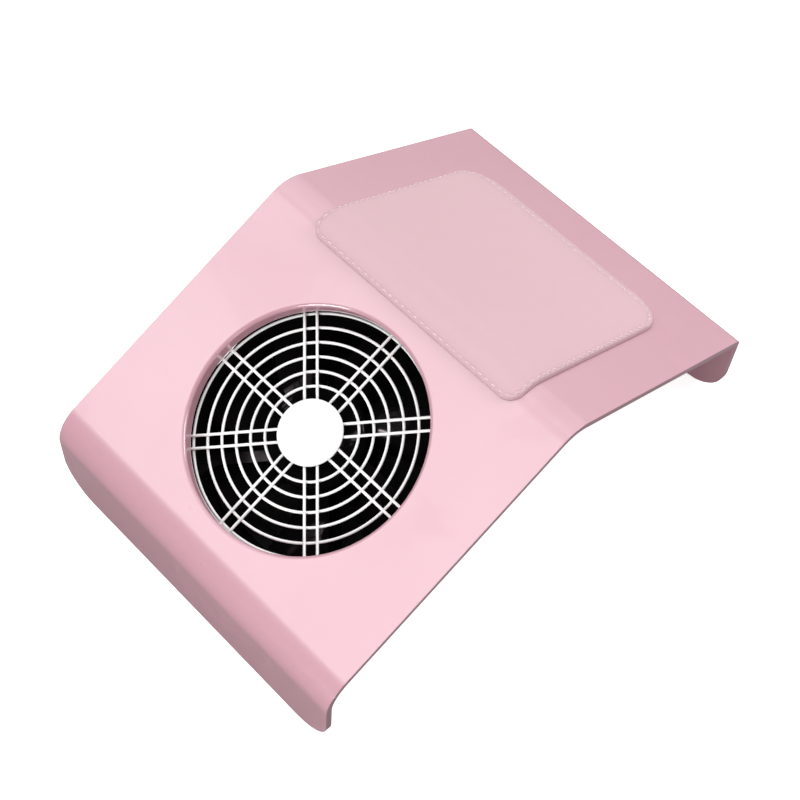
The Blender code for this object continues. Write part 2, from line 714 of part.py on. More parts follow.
def blade_section(chord):
    """Cambered section (x, y), out along the upper face and back along the lower."""
    points = []
    for side in (1, -1):
        for i in range(BLADE_STEPS + 1):
            share = i / BLADE_STEPS if side == 1 else 1 - i / BLADE_STEPS
            camber = 4 * share * (1 - share) * chord * 0.07
            thickness = 0.42 + 0.55 * sin(pi * share)
            points.append(((share - 0.5) * chord, camber + side * thickness))
    return points


def build_blade(k):
    """Twisted blade from inside the hub wall to the tip, lofted between sections."""
    mesh = bmesh.new()
    rows = []
    middle = (HUB_TOP + HUB_BOTTOM) / 2 - 0.3
    for radius, pitch, chord in BLADE_STATIONS:
        sweep = BLADE_SWEEP * (radius - HUB_RADIUS) / (BLADE_TIP - HUB_RADIUS)
        row = []
        for x, y in blade_section(chord):
            around, rise = rotated(x, y, radians(pitch))
            angle = 2 * pi * k / BLADES + around / radius - sweep
            row.append(mesh.verts.new((radius * cos(angle) * MM, radius * sin(angle) * MM,
                                       (middle + rise) * MM)))
        rows.append(row)
    count = len(rows[0])
    for a, b in zip(rows, rows[1:]):
        for i in range(count):
            j = (i + 1) % count
            mesh.faces.new((a[i], a[j], b[j]))
            mesh.faces.new((a[i], b[j], b[i]))
    for row in (rows[0], rows[-1]):
        for i in range(BLADE_STEPS):
            mesh.faces.new((row[i], row[i + 1], row[count - 1 - i]))
            mesh.faces.new((row[i + 1], row[count - 2 - i], row[count - 1 - i]))
    return from_bmesh("add_blade_%d" % k, mesh, STACK_AXES)


def build_impeller():
    impeller = turned("impeller", HUB_PROFILE, 56, STACK_AXES,
                      material("impeller_black_gloss", BLACK, roughness=0.2))
    for k in range(BLADES):
        join(impeller, build_blade(k))


# ---------------------------------------------------------------- rotor and bearings
BEARING_RADIUS = 4.0
BEARING_HEIGHT = 3.5 + 0.5


def build_rotor():
    ring("rotor_magnet", 20.4, HUB_RADIUS - HUB_WALL - 0.3, HUB_TOP - 8.0, HUB_BOTTOM + 0.4,
         40, STACK_AXES, material("magnet_grey", MAGNET_GREY, roughness=0.5, metallic=0.3))
    disc("rotor_shaft", SHAFT_RADIUS, HUB_TOP - 2.0, FAN_BOTTOM + 1.0, 20, STACK_AXES,
         steel("shaft_steel", roughness=0.2), chamfer=0.25)
    ring("shaft_clip", SHAFT_RADIUS + 0.3, 3.4, FAN_BOTTOM + 2.6, FAN_BOTTOM + 2.0, 20,
         STACK_AXES, steel("clip_steel", roughness=0.35))


def build_bearings():
    for name, mat_name, top, bottom in (
            ("bearing_upper", "bearing_steel", BEARING_TUBE_TOP - 0.9, BEARING_TUBE_TOP - 4.4),
            ("bearing_lower", "bearing_steel_lower", -34.9, -38.9)):
        ring(name, SHAFT_RADIUS + 0.06, BEARING_RADIUS, top, bottom, 28, STACK_AXES,
             steel(mat_name, roughness=0.25), chamfer=0.2)
    ring("bearing_spring", 3.3, BEARING_RADIUS, BEARING_TUBE_TOP - 4.7,
         BEARING_TUBE_TOP - 5.2, 24, STACK_AXES, steel("spring_steel", roughness=0.4))


# ---------------------------------------------------------------- stator and board
CORE_TOP, CORE_BOTTOM = -21.5, -31.5
CORE_ROOT = 9.6 * cos(radians(15.7))       # where the arms leave the core's middle
CORE_RADIUS = 19.4
POLE_INNER = 17.2             # inner radius of the pole faces
POLE_HALF_ANGLE = radians(34)
ARM_HALF = 2.6                # half width of an arm
COIL_BUILD = 2.6              # winding thickness round the arm
COIL_GAP = 0.35               # winding to arm
COIL_START, COIL_END = 10.3, 15.3


def stator_outline():
    """Four arms, each ending in a curved pole."""
    points = []
    arm_end = POLE_INNER * 0.985
    for k in range(4):
        middle = pi / 2 * k
        low, high = middle - POLE_HALF_ANGLE, middle + POLE_HALF_ANGLE
        points.append(rotated(CORE_ROOT, -ARM_HALF, middle))
        points.append(rotated(arm_end, -ARM_HALF, middle))
        points.append((POLE_INNER * cos(low), POLE_INNER * sin(low)))
        for i in range(5):
            angle = low + 2 * POLE_HALF_ANGLE * i / 4
            points.append((CORE_RADIUS * cos(angle), CORE_RADIUS * sin(angle)))
        points.append((POLE_INNER * cos(high), POLE_INNER * sin(high)))
        points.append(rotated(arm_end, ARM_HALF, middle))
        points.append(rotated(CORE_ROOT, ARM_HALF, middle))
    return points


def build_stator():
    core = prism("stator_core", stator_outline(), CORE_TOP, CORE_BOTTOM, STACK_AXES,
                 material("core_steel", CORE_GREY, roughness=0.45, metallic=0.8))
    cut(core, disc("cut_core_bore", 5.95, CORE_TOP + 3, CORE_BOTTOM - 3, 28, STACK_AXES))

    # windings: rectangular hoops round the arms
    middle = (CORE_TOP + CORE_BOTTOM) / 2
    half = (CORE_TOP - CORE_BOTTOM) / 2
    hoop = rounded_rect(half + COIL_BUILD, ARM_HALF + COIL_BUILD, 1.6, 2)
    for k, side in enumerate(("right", "rear", "left", "front")):
        # local z runs along the arm, x along the fan axis
        axes = (STACK_AXES @ Matrix.Rotation(pi / 2 * k, 4, 'Z') @ shift(z=middle)
                @ Matrix.Rotation(pi / 2, 4, 'Y'))
        coil = prism("coil_" + side, hoop, COIL_START, COIL_END, axes,
                     material("coil_copper_" + side, COPPER, roughness=0.35, metallic=0.9))
        cut(coil, box("cut_coil_" + side, (-half - COIL_GAP, -ARM_HALF - COIL_GAP, 8.0),
                      (half + COIL_GAP, ARM_HALF + COIL_GAP, 19.0), axes))


def build_circuit_board():
    ring("fan_circuit_board", 6.4, 18.6, -36.0, -37.2, 40, STACK_AXES,
         material("board_green", BOARD_GREEN, roughness=0.5))


# ---------------------------------------------------------------- rocker switch
SWITCH_LIP = 1.5              # bezel beyond the housing, and wall round its pocket
HOUSING_BACK = -15.0          # inner end of the housing, from the leg's outer face
ROCKER_AXIS = 0.4             # vertical rocker axis, behind the leg's outer face
ROCKER_TILT = radians(9.0)
ROCKER_HALF = 4.5
# (x, y) seen from above, about the rocker axis, before mirroring and tilting
ROCKER_OUTLINE = [
    (-7.2, 2.6), (-6.9, -1.8), (-2.4, -4.4), (2.4, -4.4),
    (6.9, -1.8), (7.2, 2.6), (2.0, 1.5), (-2.0, 1.5),
]
TERMINAL_AT = 4.0             # terminals either side of the switch centre


def build_switch():
    housing = switch_box("switch_housing", 0.0, HOUSING_BACK, 0.8,
                         material("switch_black", BLACK, roughness=0.35))
    bezel = rounded_rect(SWITCH_HALF_X + SWITCH_LIP, SWITCH_HALF_Z + SWITCH_LIP, 1.0, 2)
    join(housing, prism("add_bezel", bezel, 0.3, 2.0, SWITCH_AXES))
    cut(housing, switch_box("cut_switch_pocket", -SWITCH_LIP, -6.0, 6.0))

    tilted = [rotated(x, y, ROCKER_TILT) for x, y in ROCKER_OUTLINE]
    outline = [(-x, y) for x, y in reversed(tilted)]
    rocker = prism("switch_rocker", outline, ROCKER_HALF, -ROCKER_HALF,
                   shift(SWITCH_X, LEG_Y + ROCKER_AXIS, SWITCH_Z),
                   material("rocker_red", ROCKER_RED, roughness=0.3))
    bevel(rocker, 0.35, segments=1, min_angle=30)

    for tag, mat_name, offset in (("1", "terminal_brass", -TERMINAL_AT),
                                  ("2", "terminal_brass_2", TERMINAL_AT)):
        x = SWITCH_X + offset
        box("switch_terminal_" + tag, (x - 0.4, LEG_Y - 21.5, SWITCH_Z - 2.4),
            (x + 0.4, LEG_Y + HOUSING_BACK - 0.3, SWITCH_Z + 2.4),
            mat=material(mat_name, BRASS, roughness=0.3, metallic=1.0))


# ---------------------------------------------------------------- power jack
# (radius, z): socket bore, flange outside the leg, barrel through it
JACK_PROFILE = [
    (0, -9.0), (2.8, -9.0), (2.8, 1.9), (5.3, 1.9), (5.6, 1.6),
    (5.6, 0.3), (3.95, 0.3), (3.95, -12.0), (0, -12.0),
]
NUT_RADIUS = 6.3              # across corners


def build_jack():
    turned("power_jack", JACK_PROFILE, 32, JACK_AXES,
           material("jack_black", BLACK, roughness=0.35))
    disc("jack_pin", 1.0, 0.6, -8.7, 16, JACK_AXES,
         steel("jack_pin_nickel", roughness=0.25), chamfer=0.25)
    hexagon = [rotated(NUT_RADIUS, 0.0, radians(60 * i)) for i in range(6)]
    nut = prism("jack_nut", hexagon, -SHEET - 0.3, -SHEET - 2.5, JACK_AXES,
                steel("jack_nut_nickel", roughness=0.3))
    cut(nut, disc("cut_nut", 4.25, 0.0, -9.0, 32, JACK_AXES))


# ---------------------------------------------------------------- wiring
WIRE_RADIUS = 0.85
WIRE_BEND = 8                 # longest setback of a bend from its corner
WIRE_BEND_STEPS = 3
WIRE_DEPTH = 1.75             # wire centre below the rear panel's underside
CLIP_X = -2.0
WIRE_OFFSET = 1.35            # each wire from the clip's middle
# (x, z) across the clip: feet either side of a square arch
CLIP_OUTLINE = [
    (-6.0, -0.3), (-6.0, -1.5), (-3.6, -1.5), (-3.6, -4.2), (3.6, -4.2), (3.6, -1.5),
    (6.0, -1.5), (6.0, -0.3), (2.6, -0.3), (2.6, -3.2), (-2.6, -3.2), (-2.6, -0.3),
]


def under_rear_panel(x, down, depth):
    """Point below the rear panel's underside, a distance down from the apex."""
    below = SHEET + depth
    return (x, APEX[0] + down * cos(REAR_ANGLE) - below * sin(REAR_ANGLE),
            APEX[1] - down * sin(REAR_ANGLE) - below * cos(REAR_ANGLE))


def smooth_path(corners):
    """Polyline with its inner corners bent along quadratic curves."""
    points = [Vector(corners[0])]
    for before, corner, after in zip(corners, corners[1:], corners[2:]):
        before, corner, after = Vector(before), Vector(corner), Vector(after)
        back, ahead = before - corner, after - corner
        setback = min(WIRE_BEND, back.length * 0.45, ahead.length * 0.45)
        start = corner + back.normalized() * setback
        end = corner + ahead.normalized() * setback
        for i in range(WIRE_BEND_STEPS + 1):
            k = i / WIRE_BEND_STEPS
            points.append(start * (1 - k) ** 2 + corner * 2 * k * (1 - k) + end * k ** 2)
    points.append(Vector(corners[-1]))
    return points


def fan_lead(x, down):
    """First part of a wire: from the fan's rear side along the rear panel."""
    _, y, z = stack_to_world(0, FAN_HALF + 0.6, -17.0)
    return [(x, y, z), (x, y + 10, z + 3), under_rear_panel(x, 26, WIRE_DEPTH),
            under_rear_panel(x, down, WIRE_DEPTH)]


def build_wires():
    switched_x = SWITCH_X + TERMINAL_AT
    supply_x = SWITCH_X - TERMINAL_AT
    terminal_y = LEG_Y - 22.7
    jack_y = LEG_Y - 13.2
    switched = fan_lead(CLIP_X - WIRE_OFFSET, 118) + [
        (-24.0, LEG_Y - 30, 38.0),
        (switched_x, LEG_Y - 27, SWITCH_Z + 3),
        (switched_x, terminal_y, SWITCH_Z),
    ]
    back = fan_lead(CLIP_X + WIRE_OFFSET, 122) + [
        (-20.0, LEG_Y - 22, 36.0),
        (JACK_X + 2.0, LEG_Y - 18, JACK_Z + 5),
        (JACK_X + 2.0, jack_y, JACK_Z),
    ]
    supply = [
        (JACK_X - 2.0, jack_y, JACK_Z),
        (JACK_X - 2.5, LEG_Y - 19, JACK_Z),
        (supply_x, LEG_Y - 33, SWITCH_Z - 5),
        (supply_x, terminal_y, SWITCH_Z),
    ]
    for name, corners, mat_name, rgb in (
            ("wire_switched", switched, "wire_red", WIRE_RED),
            ("wire_return", back, "wire_black", BLACK),
            ("wire_supply", supply, "wire_red_supply", WIRE_RED)):
        tube(name, smooth_path(corners), WIRE_RADIUS,
             mat=material(mat_name, rgb, roughness=0.45))


def build_cable_clips():
    """Saddle clips under the rear panel."""
    for i, down in ((1, 48.0), (2, 100.0)):
        # the outline's y points up into the panel, the extrusion runs along the slope
        axes = (shift(*under_rear_panel(CLIP_X, down, 0.0))
                @ Matrix.Rotation(-REAR_ANGLE, 4, 'X') @ Matrix.Rotation(pi / 2, 4, 'X'))
        prism("cable_clip_%d" % i, CLIP_OUTLINE, -3.0, 3.0, axes,
              material("clip_white_%d" % i, CLIP_WHITE, roughness=0.5))


# ---------------------------------------------------------------- dust bag
BAG_CLOTH = 0.9
MOUTH_HALF = FAN_HALF + 0.4 + BAG_CLOTH        # outer skin round the fan flange
MOUTH_CORNER = FAN_CORNER + 1.3


def mouth_section(z):
    """Bag section square to the fan axis at a height in the stack axes."""
    return (stack_to_world(0, -MOUTH_HALF, z)[1:], stack_to_world(0, MOUTH_HALF, z)[1:],
            MOUTH_HALF, MOUTH_CORNER)


# outer skin: (lower/front (y, z), upper/rear (y, z), half width, corner radius)
BAG_SECTIONS = [
    mouth_section(-33.5),
    mouth_section(-44.5),
    ((-104.0, 8.3), (15.5, 61.5), 63.0, 12.0),
    ((-88.0, 5.2), (32.0, 64.5), 66.0, 20.0),
    ((-45.0, 5.0), (52.0, 66.0), 69.0, 22.0),
    ((5.0, 5.0), (72.0, 61.0), 69.5, 22.0),
    ((48.0, 5.5), (88.0, 53.0), 68.0, 20.0),
    ((78.0, 8.5), (98.0, 42.0), 64.0, 14.0),
    ((93.0, 17.0), (101.0, 32.0), 60.0, 6.0),
]


def bag_row(mesh, low, high, half, corner):
    """Rounded rectangle in the plane through the X direction and the line low-high."""
    low, high = Vector(low), Vector(high)
    middle = (low + high) / 2
    along = (high - low).normalized()
    row = []
    for x, offset in rounded_rect(half, (high - low).length / 2, corner, 4):
        point = middle + along * offset
        row.append(mesh.verts.new((x * MM, point.x * MM, point.y * MM)))
    return row


def build_bag():
    """Open skin from the fan's outlet flange to the closed rear end, thickened inward."""
    mesh = bmesh.new()
    rows = [bag_row(mesh, *section) for section in BAG_SECTIONS]
    for first, second in zip(rows, rows[1:]):
        band(mesh, first, second)
    mesh.faces.new(rows[-1])
    bag = from_bmesh("dust_bag", mesh,
                     mat=material("bag_cloth_white", CLOTH_WHITE, roughness=0.9))
    cloth = bag.modifiers.new("cloth", 'SOLIDIFY')
    cloth.thickness = BAG_CLOTH * MM
    cloth.offset = -1
    cloth.use_even_offset = True


def build_elastic():
    """Band round the bag's mouth."""
    inner = MOUTH_HALF + 0.35
    outer = inner + 1.0
    elastic = prism("bag_elastic", rounded_rect(outer, outer, FAN_CORNER + 2.6, 4),
                    -35.0, -39.0, STACK_AXES,
                    material("elastic_black", ELASTIC_BLACK, roughness=0.8))
    cut(elastic, prism("cut_elastic", rounded_rect(inner, inner, FAN_CORNER + 1.65, 4),
                       -30.0, -44.0, STACK_AXES))


# ---------------------------------------------------------------- build
build_shell()
build_pad()
build_guard()
build_fan_frame()
build_fan_screws()
build_impeller()
build_rotor()
build_bearings()
build_stator()
build_circuit_board()
build_switch()
build_jack()
build_wires()
build_cable_clips()
build_bag()
build_elastic()
bpy.context.view_layer.update()
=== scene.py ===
# Desk-top dust collector: a bent sheet shell with a fan under a wire guard in its sloping front
# panel, a stitched hand-rest pad over the ridge, a switch and a power jack in the rear leg, and
# a cloth bag under the fan.
# X runs across, Y from the front foot to the rear leg, Z up; the feet stand on Z = 0.
# Sizes are in mm unless noted, and turn into metres through MM as meshes are made.
import math
import random
from bisect import bisect_left
from math import cos, exp, pi, radians, sin, sqrt, tan

import bmesh
import bpy
from mathutils import Matrix, Vector, noise


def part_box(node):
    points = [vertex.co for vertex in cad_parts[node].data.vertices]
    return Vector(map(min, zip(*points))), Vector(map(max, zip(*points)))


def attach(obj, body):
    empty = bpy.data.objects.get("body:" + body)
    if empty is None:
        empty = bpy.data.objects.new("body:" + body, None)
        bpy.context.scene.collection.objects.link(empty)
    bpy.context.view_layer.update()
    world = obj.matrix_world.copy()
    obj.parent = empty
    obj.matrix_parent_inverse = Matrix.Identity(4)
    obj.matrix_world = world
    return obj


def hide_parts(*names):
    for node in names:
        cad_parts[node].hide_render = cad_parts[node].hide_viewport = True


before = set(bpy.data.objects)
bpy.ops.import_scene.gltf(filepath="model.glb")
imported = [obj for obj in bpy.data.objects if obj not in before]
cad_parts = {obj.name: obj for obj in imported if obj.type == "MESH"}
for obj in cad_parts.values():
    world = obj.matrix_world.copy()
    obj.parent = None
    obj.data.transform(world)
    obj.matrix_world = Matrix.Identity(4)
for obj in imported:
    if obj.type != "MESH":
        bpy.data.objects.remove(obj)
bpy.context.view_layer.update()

random.seed(7)
scene = bpy.context.scene
scene.view_settings.view_transform = 'Standard'
scene.view_settings.look = 'None'
scene.view_settings.exposure = 0.0
scene.view_settings.gamma = 1.0

LOOKS = bpy.data.collections.new("looks")
scene.collection.children.link(LOOKS)

# ------------------------------------------------------------------ driving dimensions
MM = 0.001
IDENTITY = Matrix.Identity(4)
SHELL_LO, SHELL_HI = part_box("top_shell")
HALF_W = SHELL_HI[0] / MM
FRONT_Y = SHELL_LO[1] / MM

# shell: front leg, rising front panel, falling rear panel, rear leg
SHEET = 3.5
FRONT_RISE, REAR_FALL = radians(24.1), radians(25.9)
FRONT_LEG, FRONT_LEN, REAR_LEN = 49.8, 161.8, 151.4
BEND_FRONT, BEND_APEX, BEND_REAR = 20.0, 20.0, 5.0
BEND_STEPS = FRONT_STEPS, APEX_STEPS, REAR_STEPS = 26, 28, 12
CORNER_FRONT, CORNER_REAR = 20.5, 21.0  # rounding of the legs' lower corners

# fan hole and the collar under it
FAN_UP_PANEL = 80.8  # hole's centre, along the front panel from its lower edge
HOLE_R, RIM_R = 58.5, 2.0
COLLAR_WALL, COLLAR_BOTTOM = 2.6, -8.0
BOSS_R, BOSS_BOTTOM = 4.6, -7.9

# fan; its Z values are measured from STACK_DROP below the panel
STACK_DROP = 4.35
FAN_TOP, FAN_H, FAN_HALF, FAN_CORNER = -7.1, 38.0, 60.0, 6.0
FAN_BOTTOM = FAN_TOP - FAN_H
SCREW_AT, SCREW_R = 52.4, 1.6
SCREW_CORNERS = ((1, -1), (1, 1), (-1, 1), (-1, -1))

SWITCH_X, SWITCH_Z = -60.0, 24.0
JACK_X, JACK_Z = -28.0, 24.0

# side profile as (y, z)
FRONT_FOOT = (FRONT_Y, 0.0)
FRONT_EDGE = (FRONT_Y, FRONT_LEG)
APEX = (FRONT_EDGE[0] + FRONT_LEN * cos(FRONT_RISE), FRONT_EDGE[1] + FRONT_LEN * sin(FRONT_RISE))
REAR_EDGE = (APEX[0] + REAR_LEN * cos(REAR_FALL), APEX[1] - REAR_LEN * sin(REAR_FALL))
LEG_Y = REAR_EDGE[0]
REAR_FOOT = (LEG_Y, 0.0)


def shift(x, y, z):
    return Matrix.Translation((x * MM, y * MM, z * MM))


def on_rear_leg(x, z):
    """Axes on the rear leg's outer face, with Z pointing out of it."""
    return shift(x, LEG_Y, z) @ Matrix.Rotation(-pi / 2, 4, 'X')


def at_screws(axes):
    return [axes @ shift(sx * SCREW_AT, sy * SCREW_AT, 0) for sx, sy in SCREW_CORNERS]


# axes of the fan: Z square to the front panel, origin in the middle of the hole
PANEL = shift(0, FRONT_EDGE[0] + FAN_UP_PANEL * cos(FRONT_RISE),
              FRONT_EDGE[1] + FAN_UP_PANEL * sin(FRONT_RISE)) @ Matrix.Rotation(FRONT_RISE, 4, 'X')
STACK = PANEL @ shift(0, 0, -STACK_DROP)
SWITCH_AXES = on_rear_leg(SWITCH_X, SWITCH_Z)
JACK_AXES = on_rear_leg(JACK_X, JACK_Z)


# ------------------------------------------------------------------ node helpers
class Nodes:
    """Adds nodes to a tree. Textures read the tree's own coordinates unless given others."""

    def __init__(self, tree, coordinates):
        self.tree = tree
        self.place = self.node("ShaderNodeTexCoord").outputs[coordinates]

    def feed(self, socket, value):
        """Link a socket, or set its value; colours are given as RGB."""
        if isinstance(value, bpy.types.NodeSocket):
            self.tree.links.new(value, socket)
        elif isinstance(value, tuple) and socket.type == 'RGBA':
            socket.default_value = (*value[:3], 1.0)
        else:
            socket.default_value = value

    def node(self, kind, inputs=None, **settings):
        node = self.tree.nodes.new(kind)
        for name, value in settings.items():
            setattr(node, name, value)
        for name, value in (inputs or {}).items():
            self.feed(node.inputs[name], value)
        return node

    def mapping(self, scale=(1, 1, 1), rot=(0, 0, 0)):
        inputs = {"Scale": scale, "Rotation": rot, "Vector": self.place}
        return self.node("ShaderNodeMapping", inputs).outputs["Vector"]

    def noise(self, scale, detail=3.0, rough=0.55, vector=None, distortion=0.0):
        inputs = {"Scale": scale, "Detail": detail, "Roughness": rough,
                  "Distortion": distortion, "Vector": vector or self.place}
        return self.node("ShaderNodeTexNoise", inputs).outputs["Fac"]

    def voronoi(self, scale, feature='F1', vector=None, randomness=1.0):
        inputs = {"Scale": scale, "Randomness": randomness, "Vector": vector or self.place}
        return self.node("ShaderNodeTexVoronoi", inputs, feature=feature).outputs["Distance"]

    def wave(self, scale, vector, distortion, direction):
        inputs = {"Scale": scale, "Distortion": distortion, "Detail": 0.0, "Vector": vector}
        node = self.node("ShaderNodeTexWave", inputs, bands_direction=direction,
                         wave_profile='SIN')
        return node.outputs["Fac"]

    def ramp(self, factor, stops, interpolation='LINEAR'):
        """Grey ramp through (position, brightness) stops."""
        node = self.node("ShaderNodeValToRGB", {"Fac": factor})
        ramp = node.color_ramp
        ramp.interpolation = interpolation
        while len(ramp.elements) < len(stops):
            ramp.elements.new(0.5)
        for element, (position, grey) in zip(ramp.elements, stops):
            element.position = position
            element.color = (grey, grey, grey, 1)
        return node.outputs["Color"]

    def math(self, operation, *values):
        inputs = dict(enumerate(values))
        return self.node("ShaderNodeMath", inputs, operation=operation).outputs[0]

    def part(self, factor, amount, invert=False):
        """A factor, or one minus it, scaled by an amount."""
        if invert:
            factor = self.math('SUBTRACT', 1.0, factor)
        return self.math('MULTIPLY', factor, amount)

    def mix(self, factor, first, second):
        """Colour mix; sockets 0, 6, 7 and output 2 are the node's colour set."""
        inputs = {0: factor, 6: first, 7: second}
        return self.node("ShaderNodeMix", inputs, data_type='RGBA').outputs[2]


class Look(Nodes):
    """A principled material with textures in object space (metres)."""

    def __init__(self, name):
        self.material = bpy.data.materials.new(name)
        self.material.use_nodes = True
        super().__init__(self.material.node_tree, "Object")
        self.shader = self.tree.nodes["Principled BSDF"]

    def set(self, **values):
        """Set shader inputs; underscores in the names stand for spaces."""
        for name, value in values.items():
            self.feed(self.shader.inputs[name.replace("_", " ")], value)

    def roughness(self, base, spread, scale):
        grain = self.noise(scale, detail=2.0)
        self.set(Roughness=self.math('MULTIPLY_ADD', grain, spread * 2, base - spread))

    def bump(self, height, strength, distance, under=None):
        """Bump the shader's normal, on top of an earlier bump if one is given."""
        inputs = {"Strength": strength, "Distance": distance, "Height": height}
        if under is not None:
            inputs["Normal"] = under
        normal = self.node("ShaderNodeBump", inputs).outputs["Normal"]
        self.set(Normal=normal)
        return normal


def tones(rgb, darker, lighter):
    """A darker and a lighter version of a colour."""
    return tuple(c * darker for c in rgb), tuple(min(1.0, c * lighter) for c in rgb)


# ------------------------------------------------------------------ materials
def shell_look():
    look = Look("look_shell_pink")
    colour = look.mix(look.noise(9.0), (0.555, 0.290, 0.345), (0.590, 0.320, 0.378))
    specks = look.ramp(look.noise(1400.0, detail=1.0), [(0.70, 0.0), (0.86, 1.0)])
    colour = look.mix(look.part(specks, 0.08), colour, (0.92, 0.72, 0.78))
    # painted highlight: sharp convex edges, picked out by pointiness, are lightened towards pale
    # pink
    edges = look.ramp(look.node("ShaderNodeNewGeometry").outputs["Pointiness"],
                      [(0.52, 0.0), (0.60, 1.0)])
    colour = look.mix(look.part(edges, 0.25), colour, (0.93, 0.72, 0.77))
    # glossy coat, thinner in hazy patches
    haze = look.ramp(look.noise(26.0, distortion=0.6), [(0.54, 0.0), (0.66, 1.0)])
    look.set(Base_Color=colour, Specular_IOR_Level=0.5,
             Coat_Weight=look.math('SUBTRACT', 1.0, look.part(haze, 0.16)),
             Coat_Roughness=0.10, Coat_IOR=1.75,
             Subsurface_Weight=0.06, Subsurface_Radius=(0.004, 0.002, 0.002))
    look.roughness(base=0.30, spread=0.05, scale=60.0)
    grain = look.bump(look.noise(2600.0, detail=2.0), strength=0.05, distance=0.0002)
    ripple = look.bump(look.noise(55.0, detail=2.0), strength=0.10, distance=0.0008,
                       under=grain)
    look.set(Coat_Normal=ripple)
    return look.material


def leather_look():
    look = Look("look_leatherette")
    colour = look.mix(look.noise(14.0), (0.628, 0.405, 0.446), (0.652, 0.428, 0.470))
    # painted shade: dark creases between small grain cells
    cells = look.ramp(look.voronoi(1500.0, 'DISTANCE_TO_EDGE'), [(0.0, 0.0), (0.12, 1.0)])
    colour = look.mix(look.part(cells, 0.10, invert=True), colour, (0.60, 0.36, 0.42))
    look.set(Base_Color=colour, Sheen_Weight=0.15, Sheen_Roughness=0.5,
             Specular_IOR_Level=0.4)
    look.roughness(base=0.52, spread=0.06, scale=300.0)
    creases = look.bump(cells, strength=0.22, distance=0.00015)
    look.bump(look.noise(240.0, detail=4.0), strength=0.18, distance=0.0005, under=creases)
    return look.material


def plastic_look(name, rgb, rough, grain, grain_strength, coat=0.0, vary=0.25, specular=0.5):
    look = Look(name)
    look.set(Base_Color=look.mix(look.noise(35.0), *tones(rgb, 1 - vary, 1 + vary)),
             Coat_Weight=coat, Coat_Roughness=0.08, Specular_IOR_Level=specular)
    look.roughness(base=rough, spread=rough * 0.25, scale=90.0)
    look.bump(look.noise(grain, detail=2.0), strength=grain_strength, distance=0.0002)
    return look.material


def black_plastic_look(name, rgb, rough):
    """Black plastic that is dull but for a few patches of raised specular that paint glints."""
    look = Look(name)
    stretched = look.mapping(scale=(46.0, 30.0, 30.0), rot=(0.2, 0.1, 0.6))
    # painted glints: stretched noise patches where the specular is raised
    glint_patches = look.ramp(look.noise(1.0, detail=1.5, rough=0.5, vector=stretched),
                        [(0.60, 0.0), (0.63, 1.0)])
    # the pink specular tint is a painted reflection of the pink shell
    look.set(Base_Color=look.mix(look.noise(35.0), *tones(rgb, 0.8, 1.2)),
             Specular_IOR_Level=look.part(glint_patches, 0.36), Specular_Tint=(1.0, 0.86, 0.92))
    look.roughness(base=rough, spread=rough * 0.25, scale=90.0)
    look.bump(look.noise(900.0, detail=2.0), strength=0.05, distance=0.0002)
    return look.material


def metal_look(name, rgb, rough, brushed=None):
    """Metal with fine grain, or brushed with the given texture scale for each axis."""
    look = Look(name)
    if brushed:
        grain = look.noise(1.0, rough=0.6, vector=look.mapping(scale=brushed))
    else:
        grain = look.noise(700.0)
    look.set(Base_Color=look.mix(grain, *tones(rgb, 0.88, 1.12)), Metallic=1.0)
    look.roughness(base=rough, spread=rough * 0.3, scale=400.0)
    look.bump(grain, strength=0.08, distance=0.0001)
    return look.material


def powder_coat_look():
    look = Look("look_powder_coat_white")
    colour = look.mix(look.noise(120.0), (0.86, 0.855, 0.85), (0.93, 0.93, 0.925))
    look.set(Base_Color=colour, Coat_Weight=0.25, Coat_Roughness=0.2)
    look.roughness(base=0.36, spread=0.05, scale=600.0)
    look.bump(look.noise(2200.0), strength=0.10, distance=0.0002)
    return look.material


def thread_look():
    look = Look("look_thread")
    twist = look.wave(900.0, look.mapping(rot=(0.6, 0.5, 0.7)), distortion=1.0,
                      direction='DIAGONAL')
    look.set(Base_Color=look.mix(twist, (0.80, 0.63, 0.67), (0.90, 0.74, 0.775)),
             Sheen_Weight=0.4)
    look.roughness(base=0.6, spread=0.08, scale=900.0)
    look.bump(twist, strength=0.5, distance=0.0002)
    return look.material


def bag_look():
    """Spun-bonded cloth: random fibres under a regular grid of pressed dots."""
    look = Look("look_nonwoven_cloth")
    fibres = look.noise(900.0, detail=5.0, rough=0.65, distortion=2.5)
    grid = look.voronoi(520.0, vector=look.mapping(rot=(0.3, 0.2, 0.785)), randomness=0.0)
    dots = look.ramp(grid, [(0.18, 0.0), (0.30, 1.0)])
    colour = look.mix(look.noise(28.0), (0.73, 0.73, 0.72), (0.80, 0.80, 0.79))
    colour = look.mix(look.part(fibres, 0.35), colour, (0.88, 0.88, 0.87))
    colour = look.mix(look.part(dots, 0.25, invert=True), colour, (0.60, 0.60, 0.60))
    look.set(Base_Color=colour, Sheen_Weight=0.35)
    look.roughness(base=0.86, spread=0.06, scale=200.0)
    fibre_bump = look.bump(fibres, strength=0.35, distance=0.0003)
    look.bump(dots, strength=0.45, distance=0.0003, under=fibre_bump)
    return look.material


def bag_inside_look():
    look = Look("look_bag_inside_dust_and_shade")
    # nearly black colour of the bag's inside: dust and painted shade
    colour = look.mix(look.noise(420.0, detail=4.0), (0.030, 0.029, 0.030),
                      (0.062, 0.060, 0.061))
    look.set(Base_Color=colour, Specular_IOR_Level=0.1)
    look.roughness(base=0.92, spread=0.05, scale=200.0)
    look.bump(look.noise(800.0, detail=4.0), strength=0.3, distance=0.0003)
    return look.material


def elastic_look():
    look = Look("look_elastic")
    ribs = look.wave(420.0, look.mapping(), distortion=0.3, direction='X')
    look.set(Base_Color=look.mix(ribs, (0.012, 0.012, 0.013), (0.05, 0.05, 0.052)),
             Sheen_Weight=0.3)
    look.roughness(base=0.75, spread=0.1, scale=600.0)
    look.bump(ribs, strength=0.6, distance=0.0004)
    return look.material


